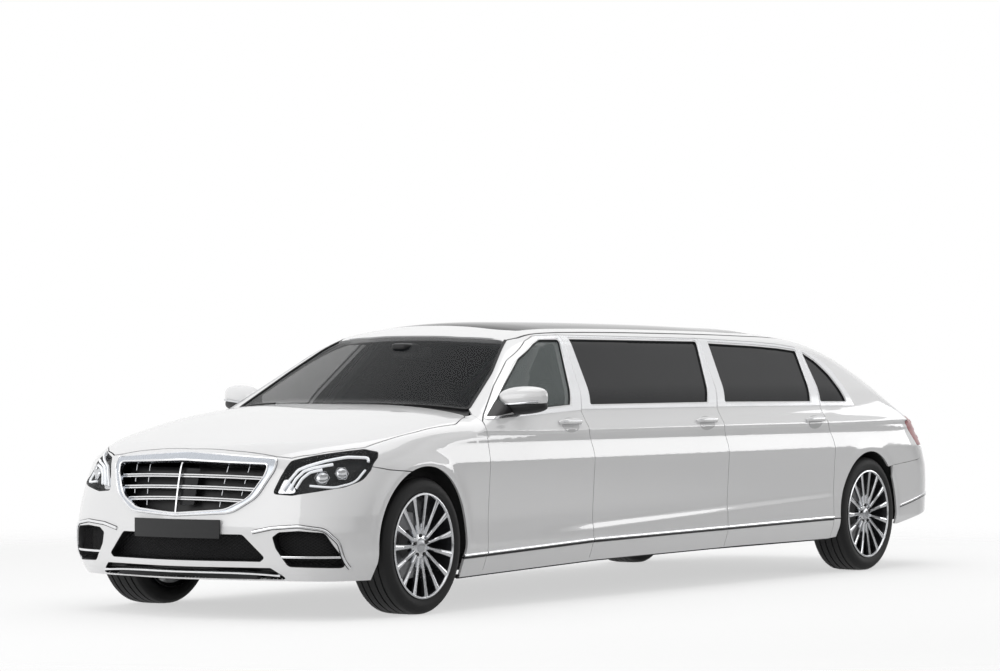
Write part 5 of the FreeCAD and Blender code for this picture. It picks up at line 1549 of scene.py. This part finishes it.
class Cabin(Part):
    """Seats, dashboard, steering wheel and inner mirror."""

    SEAT_ROWS = (("front", .880, "front_seats"), ("middle", -.330, "rear_seats"))

    @staticmethod
    def cushion(size: tuple[float, float, float], centre: tuple[float, float, float], lean: float = 0.,
                channels: int = 0, power: float = 5.) -> Shell:
        """A padded block: a super-ellipsoid crowned over its face, with sewn channels, leaned about the Y axis.

        Args:
            size: Half sizes along X, Y and Z before it leans.
            centre: Its middle.
            lean: Angle in degrees, positive backwards.
            channels: Sewn lines across its width.
            power: Larger is squarer.

        Returns:
            The closed shell.
        """
        shell = lump(size, (0., 0., 0.), power, 30)
        v = shell.verts / np.array(size)
        crown = 1 + .10 * (1 - v[:, 1:2] ** 2) * (1 - np.minimum(v[:, 2:3] ** 2, 1))
        seam = 1.
        if channels:
            phase = (v[:, 1] * .5 + .5) * (channels + 1) * math.pi
            seam = 1 - .10 * np.exp(-(np.sin(phase) / .22) ** 2)[:, None] * (np.abs(v[:, 1:2]) < .85)
        pts = shell.verts * np.hstack([crown * seam, np.ones_like(crown), np.where(v[:, 2:3] > 0, seam, 1.)])
        a = math.radians(lean)
        turn = np.array([[math.cos(a), 0, -math.sin(a)], [0, 1, 0], [math.sin(a), 0, math.cos(a)]])
        return Shell(pts @ turn.T + np.array(centre), shell.faces)

    def soft_piece(self, name: str, shell: Shell, fill: float, nodes: tuple[str, ...] = ()) -> None:
        """Puts in a padded piece of leather."""
        self.car.put(name, shell, Look.LEATHER, BODY, nodes)

    def seat(self, name: str, x: float, y: float, half: float, nodes: tuple[str, ...], channels: int = 3) -> None:
        """One seat's cushion and back.

        Args:
            name: Start of its pieces' names.
            x: Foot of its back.
            y: Its middle.
            half: Half of its width.
            nodes: The construction nodes that it stands for.
            channels: Sewn lines.
        """
        cushion = self.cushion((.27, half, .075), (x - .28 + .51, y, .44), -4, channels)
        self.soft_piece(f"{name}_cushion", cushion, .75, nodes)
        back = self.cushion((.070, half * .96, .33), (x - .05, y, .74), 17, channels)
        self.soft_piece(f"{name}_back", back, .7)

    def build(self) -> None:
        """Makes what shows of the inside."""
        post = lathe([(.0, -.11), (.0, .06), (.006, .06), (.006, -.11)], 10, ends=False)
        post = Shell(post.verts[:, [0, 2, 1]], [f[:, ::-1] for f in post.faces])
        for row, x, node in self.SEAT_ROWS:
            for side, y in (("left", .385), ("right", -.385)):
                self.seat(f"{row}_seat_{side}", x - .17, y, .255, (node,))
                rest = self.cushion((.050, .135, .095), (x - .345, y, 1.085), 8, 0, 4.)
                self.soft_piece(f"{row}_headrest_{side}", rest, .8)
                stood = [post.moved((x - .335, y + d, .98)) for d in (-.05, .05)]
                self.car.put(f"{row}_headrest_posts_{side}", joined(stood), Look.STEEL)
                self.block(f"{row}_seat_plinth_{side}", (.24, .20, .075), (x + .08, y, .312), 8., 16, Look.BLACK)
        for k, y in enumerate((-.45, 0., .45)):
            self.seat(f"bench_seat_{k + 1}", -1.60, y, .222, ("rear_seats",))
            rest = self.cushion((.045, .115, .075), (-1.775, y, 1.075), 10, 0, 4.)
            self.soft_piece(f"bench_headrest_{k + 1}", rest, .8)
        self.block("bench_plinth", (.20, .66, .075), (-1.42, 0., .312), 10., 20, Look.BLACK)
        self.dashboard()
        self.steering()

    def dashboard(self) -> None:
        """A padded top over a wood band, a dark screen, round vents and the middle console."""
        y = np.linspace(-1, 1, 60)
        profile = np.array(rounded([(2.085, .60), (1.66, .60, .04), (1.615, .80, .05), (1.60, .93, .05),
                                    (1.70, .975, .06), (1.90, .985, .1), (2.09, .965)], .02))
        half = .735
        side = profile[None] + 0 * y[:, None, None]
        hood = np.exp(-((y * half - .375) / .19) ** 4)[:, None]
        lift = .030 * hood * np.exp(-((side[..., 0] - 1.68) / .09) ** 2) * (side[..., 1] > .93)
        bow = .035 * (y[:, None] ** 2)
        pts = np.stack([side[..., 0] + bow * (side[..., 0] < 1.75), np.broadcast_to((y * half)[:, None],
                        side.shape[:2]), side[..., 1] + lift], -1)
        self.car.put("dashboard_top", capped(pts, turned=True), Look.LEATHER, BODY, ("dashboard",))
        self.block("dashboard_wood", (.010, .70, .045), (1.607, 0., .82), 8., 20, Look.WOOD)
        self.block("dashboard_screen", (.008, .30, .062), (1.588, .20, .905), 9., 20, Look.GLASS_BLACK)
        vent = lathe([(.020, -.006), (.032, -.006), (.034, .004, .003), (.026, .010, .003)], 32, .004)
        vent = Shell(vent.verts[:, [1, 0, 2]] * [-1, 1, 1], vent.faces)
        rings = [vent.moved((1.594, d, .815)) for d in (-.16, -.055, .055, .16)]
        self.car.put("dashboard_vents", joined(rings), Look.SATIN)
        self.block("centre_console", (.52, .105, .16), (1.14, 0., .42), 7., 24, Look.LEATHER)
        self.block("centre_console_wood", (.34, .085, .010), (1.16, 0., .583), 8., 16, Look.WOOD)

    def steering(self) -> None:
        """Steering wheel: padded ring, a hub pad and three spokes, turned to face the driver."""
        axis, centre, body = np.array([-.9135, 0., .4067]), np.array([1.500, .375, .905]), "steering_wheel_body"
        basis = np.stack([OUTWARDS, axis, np.cross(axis, OUTWARDS)])
        t = around(72)
        ring = np.stack([.178 * np.cos(t), 0 * t, .178 * np.sin(t)], 1) @ basis + centre
        rim = sweep(ring, axis, tube_section(.015, 12), True)
        self.car.put("steering_wheel_rim", rim, Look.LEATHER, body, ("steering_wheel",))
        pad = lump((.075, .022, .060), (0., 0., 0.), 4., 20)
        self.car.put("steering_wheel_pad", Shell(pad.verts @ basis + centre, pad.faces), Look.LEATHER, body)
        arms = []
        for a in (0., math.pi, -math.pi / 2):
            s = np.linspace(.05, .172, 8)
            path = np.stack([s * math.cos(a), 0 * s - .004, s * math.sin(a)], 1) @ basis + centre
            arms.append(sweep(path, axis, bar_section(.040, .010, .006)))
        self.car.put("steering_wheel_spokes", joined(arms), Look.SATIN, body)
        self.block("inner_mirror", (.012, .125, .033), (1.36, 0., 1.345), 5., 20, Look.BLACK)
        self.block("screen_sensor_pod", (.075, .060, .022), (1.43, 0., 1.375), 4., 20, Look.BLACK)


class Underside(Part):
    """Wheel housings, bulkheads and floors, and finishes of the construction's own pieces that stay in sight."""

    FINISHES = {"floor_pan": Look.CARPET_PAN, "front_axle": Look.STEEL, "rear_axle": Look.CAST,
                "engine": Look.CAST, "door_posts": Look.BLACK, "latches": Look.STEEL,
                "front_knuckle_left": Look.CAST, "front_knuckle_right": Look.CAST}
    BULKHEADS = (("engine_bulkhead", 2.118, .99, .006), ("boot_bulkhead", -1.826, .96, .004))   # x, top, rib depth
    BULKHEAD_FOOT = .24

    def liners(self) -> None:
        """Wheel housings: part drums over each wheel from the skin inwards, closed by an inner wall."""
        for k, (where, radius, depth) in enumerate((("front", .452, .475), ("rear", .418, .64))):
            x0 = WHEEL_X[k]
            t = np.linspace(-.12, math.pi + .12, 60)
            x, z = x0 + radius * np.cos(t), WHEEL_Z + radius * np.sin(t)
            edge = seen(SIDE, x, np.maximum(z, .24))[:, 1] - .022
            s = np.linspace(0, 1, 12)
            y = edge[:, None] + (depth - edge[:, None]) * s[None]
            outer, inner = (np.stack([x0 + r * np.cos(t)[:, None] + 0 * y, y, WHEEL_Z + r * np.sin(t)[:, None] + 0 * y],
                                     -1) for r in (radius + .004 * np.cos(s * 40)[None], radius + .008))
            shell = capped(np.hstack([outer, inner[:, ::-1]]))
            self.car.pair(f"{where}_wheel_housing", shell, Look.UNDER, BODY, ("wheel_liners",))
            wall = lathe([(.0, depth - .008), (.0, depth), (radius + .006, depth), (radius + .006, depth - .008)], 64,
                         ends=False)
            flat = wall.verts.copy()
            flat[:, 2] = np.maximum(flat[:, 2], .15 if where == "front" else -.10)
            self.car.pair(f"{where}_housing_wall", Shell(flat + [x0, 0., WHEEL_Z], wall.faces), Look.UNDER)

    def walls(self) -> None:
        """Bulkheads before and behind the cabin, trimmed to the skin, with pressed ribs; the boot's floor and tray."""
        for name, x, cap, ribs in self.BULKHEADS:
            y = np.linspace(-.862, .862, 60)
            top = np.minimum(seen(PLAN, x, y)[:, 2] - .045, cap)
            s = np.linspace(0, 1, 40)
            z = self.BULKHEAD_FOOT + (top[:, None] - self.BULKHEAD_FOOT) * s[None]
            front = np.stack([x + ribs * np.cos(z * 55), np.broadcast_to(y[:, None], z.shape), z], -1)
            shell = capped(np.hstack([front, (front - [.016, 0, 0])[:, ::-1]]))
            self.car.put(name, shell, Look.UNDER, BODY, ("bulkheads",))
        self.block("boot_carpet", (.72, .60, .012), (-2.62, 0., .480), 12., 30, Look.CARPET, ("boot_floor",))
        self.block("rear_under_tray", (.30, .62, .008), (-3.07, 0., .440), 12., 24, Look.UNDER)
        self.block("parcel_shelf", (.22, .62, .010), (-2.06, 0., .982), 12., 24, Look.LINING)

    def build(self) -> None:
        """Makes the wheel housings, walls and floors and dresses each node that stays."""
        self.liners()
        self.walls()
        for node, finish in self.FINISHES.items():
            obj = self.car.frame["nodes"].get(node)
            if obj is None:
                LOG.info("no node %s", node)
                continue
            mat = finish.build()
            if not obj.material_slots:
                obj.data.materials.append(mat)
            for slot in obj.material_slots:
                slot.material = mat


class Stage:
    """Pale floor, white surroundings, soft light and the camera."""

    CAMERA = (18.2167, 11.5809, 1.278)
    YAW, PITCH, LENS = -2.5632, .0079, 133.07
    SKY = ((.20, .30), (.485, .25), (.50, .05), (.522, .05), (.55, .58), (.62, .80), (.74, .88), (.80, .45), (.9, .40))
    LIGHTS = (("overhead_softbox", (0., .9, 5.5), (0., 0., 0.), (10., 3.4), 125.),
              ("left_reflector", (-7.1, 5.1, 2.05), (0., 0.9, .9), (7., 1.4), 65.),
              ("front_reflector", (9.5, -2.5, 3.6), (2.5, 0., .7), (8., 4.), 115.))
    SKY_END, RIGHT_TONE = (.38,) * 3, (.95,) * 3     # greys straight below and above, and of the car's right

    def world(self) -> None:
        """White for the camera; elsewhere, in reflections and where it lights the car, greys banded by height, nearly
        white towards the car's right.
        """
        world = bpy.data.worlds.new("studio_white")
        bpy.context.scene.world = world
        world.use_nodes = True
        graph = Graph(world.node_tree)
        node = graph.node
        path, out = node("LightPath"), node("OutputWorld")
        lit, seen, mix = node("Background"), node("Background"), node("MixShader")
        coords = node("TexCoord")
        split = node("SeparateXYZ", {"Vector": coords.outputs["Generated"]})
        ramp = node("ValToRGB")
        rise = node("MapRange", {"From Min": -1., "From Max": 1., "Value": split.outputs["Z"]})
        graph.fill(ramp, {"Fac": rise.outputs["Result"]})
        tones = ramp.color_ramp.elements
        tones[0].position, tones[1].position = 0., 1.
        for place, grey in self.SKY:
            tones.new(place).color = (grey, grey, grey, 1.)
        tones[0].color = tones[-1].color = (*self.SKY_END, 1.)
        far = node("MapRange", {"From Min": -.25, "From Max": .15, "Value": split.outputs["Y"]})
        blend = node("Mix", {"A": (*self.RIGHT_TONE, 1.), "B": ramp.outputs["Color"], "Factor": far.outputs["Result"]},
                     data_type="RGBA")
        graph.fill(lit, {"Color": blend.outputs["Result"]})
        graph.fill(seen, {"Color": (1., 1., 1., 1.), "Strength": 1.})
        graph.fill(mix, {"Fac": path.outputs["Is Camera Ray"], 1: lit.outputs["Background"],
                         2: seen.outputs["Background"]})
        graph.fill(out, {"Surface": mix.outputs["Shader"]})

    def floor(self) -> None:
        """A pale round floor that takes the car's shadow and thins out to the white surroundings far from it."""
        r = np.linspace(.001, 9., 24)[:, None]
        t = around(96)[None]
        disc = grid(np.stack([r * np.cos(t) * 1.25, r * np.sin(t), 0 * r * t - .0005], -1), closed_v=True)
        mesh = bpy.data.meshes.new("studio_floor")
        mesh.from_pydata(disc.verts.tolist(), [], disc.faces[0].tolist())
        floor = bpy.data.objects.new("studio_floor", mesh)
        bpy.context.scene.collection.objects.link(floor)
        mat = Finish("studio_floor_white", (.97, .97, .97), "underbody", .9, scale=30., vary=.004, bump=.0001).build()
        graph = Graph(mat.node_tree, keep=True)
        bsdf = next(n for n in mat.node_tree.nodes if n.type == "BSDF_PRINCIPLED")
        coords = graph.node("TexCoord")
        length = graph.node("VectorMath", {0: coords.outputs["Object"]}, operation="LENGTH")
        fade = graph.node("MapRange", {"From Min": 4.2, "From Max": 8.8, "To Min": .42, "To Max": 0.,
                                       "Value": length.outputs["Value"]}, interpolation_type="SMOOTHERSTEP")
        graph.fill(bsdf, {"Alpha": fade.outputs["Result"]})
        mesh.materials.append(mat)

    def light(self, name: str, place: tuple[float, float, float], aim: tuple[float, float, float],
              size: tuple[float, float], watts: float) -> None:
        """One soft rectangular light.

        Args:
            name: Its name.
            place: Where it stands.
            aim: The point that it faces.
            size: Its width and height.
            watts: Its power.
        """
        lamp = bpy.data.lights.new(name, "AREA")
        lamp.shape, lamp.size, lamp.size_y, lamp.energy = "RECTANGLE", size[0], size[1], watts
        obj = bpy.data.objects.new(name, lamp)
        bpy.context.scene.collection.objects.link(obj)
        obj.location = place
        obj.rotation_euler = (Vector(aim) - Vector(place)).to_track_quat("-Z", "Y").to_euler()
        obj.visible_camera = False

    def camera(self) -> None:
        """The camera, level with the belt and far enough off for a long lens."""
        data = bpy.data.cameras.new("camera")
        data.lens, data.sensor_width, data.clip_end = self.LENS, 36., 300.
        cam = bpy.data.objects.new("camera", data)
        bpy.context.scene.collection.objects.link(cam)
        cam.location = self.CAMERA
        level = math.cos(self.PITCH)
        way = Vector((math.cos(self.YAW) * level, math.sin(self.YAW) * level, math.sin(self.PITCH)))
        cam.rotation_euler = way.to_track_quat("-Z", "Y").to_euler()
        bpy.context.scene.camera = cam

    def build(self) -> None:
        """Sets the stage."""
        self.world()
        self.floor()
        for light in self.LIGHTS:
            self.light(*light)
        self.camera()
        bpy.context.scene.view_settings.view_transform = "Standard"


def main() -> None:
    """Builds the car class by class."""
    logging.basicConfig(level=logging.INFO, format="%(message)s")
    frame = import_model()
    car = Car(frame)
    for part in (BodyShell(car), Trim(car), Face(car), Stern(car), Cabin(car), Underside(car)):
        part.build()
        LOG.info("%s: %d pieces so far", type(part).__name__, len(car.made))
    for where, x in zip(("front", "rear"), WHEEL_X):
        Wheel().build(car, where, (x, WHEEL_Y, WHEEL_Z))
        LOG.info("%s wheels: %d pieces so far", where, len(car.made))
    Stage().build()


if __name__ == "__main__":
    main()
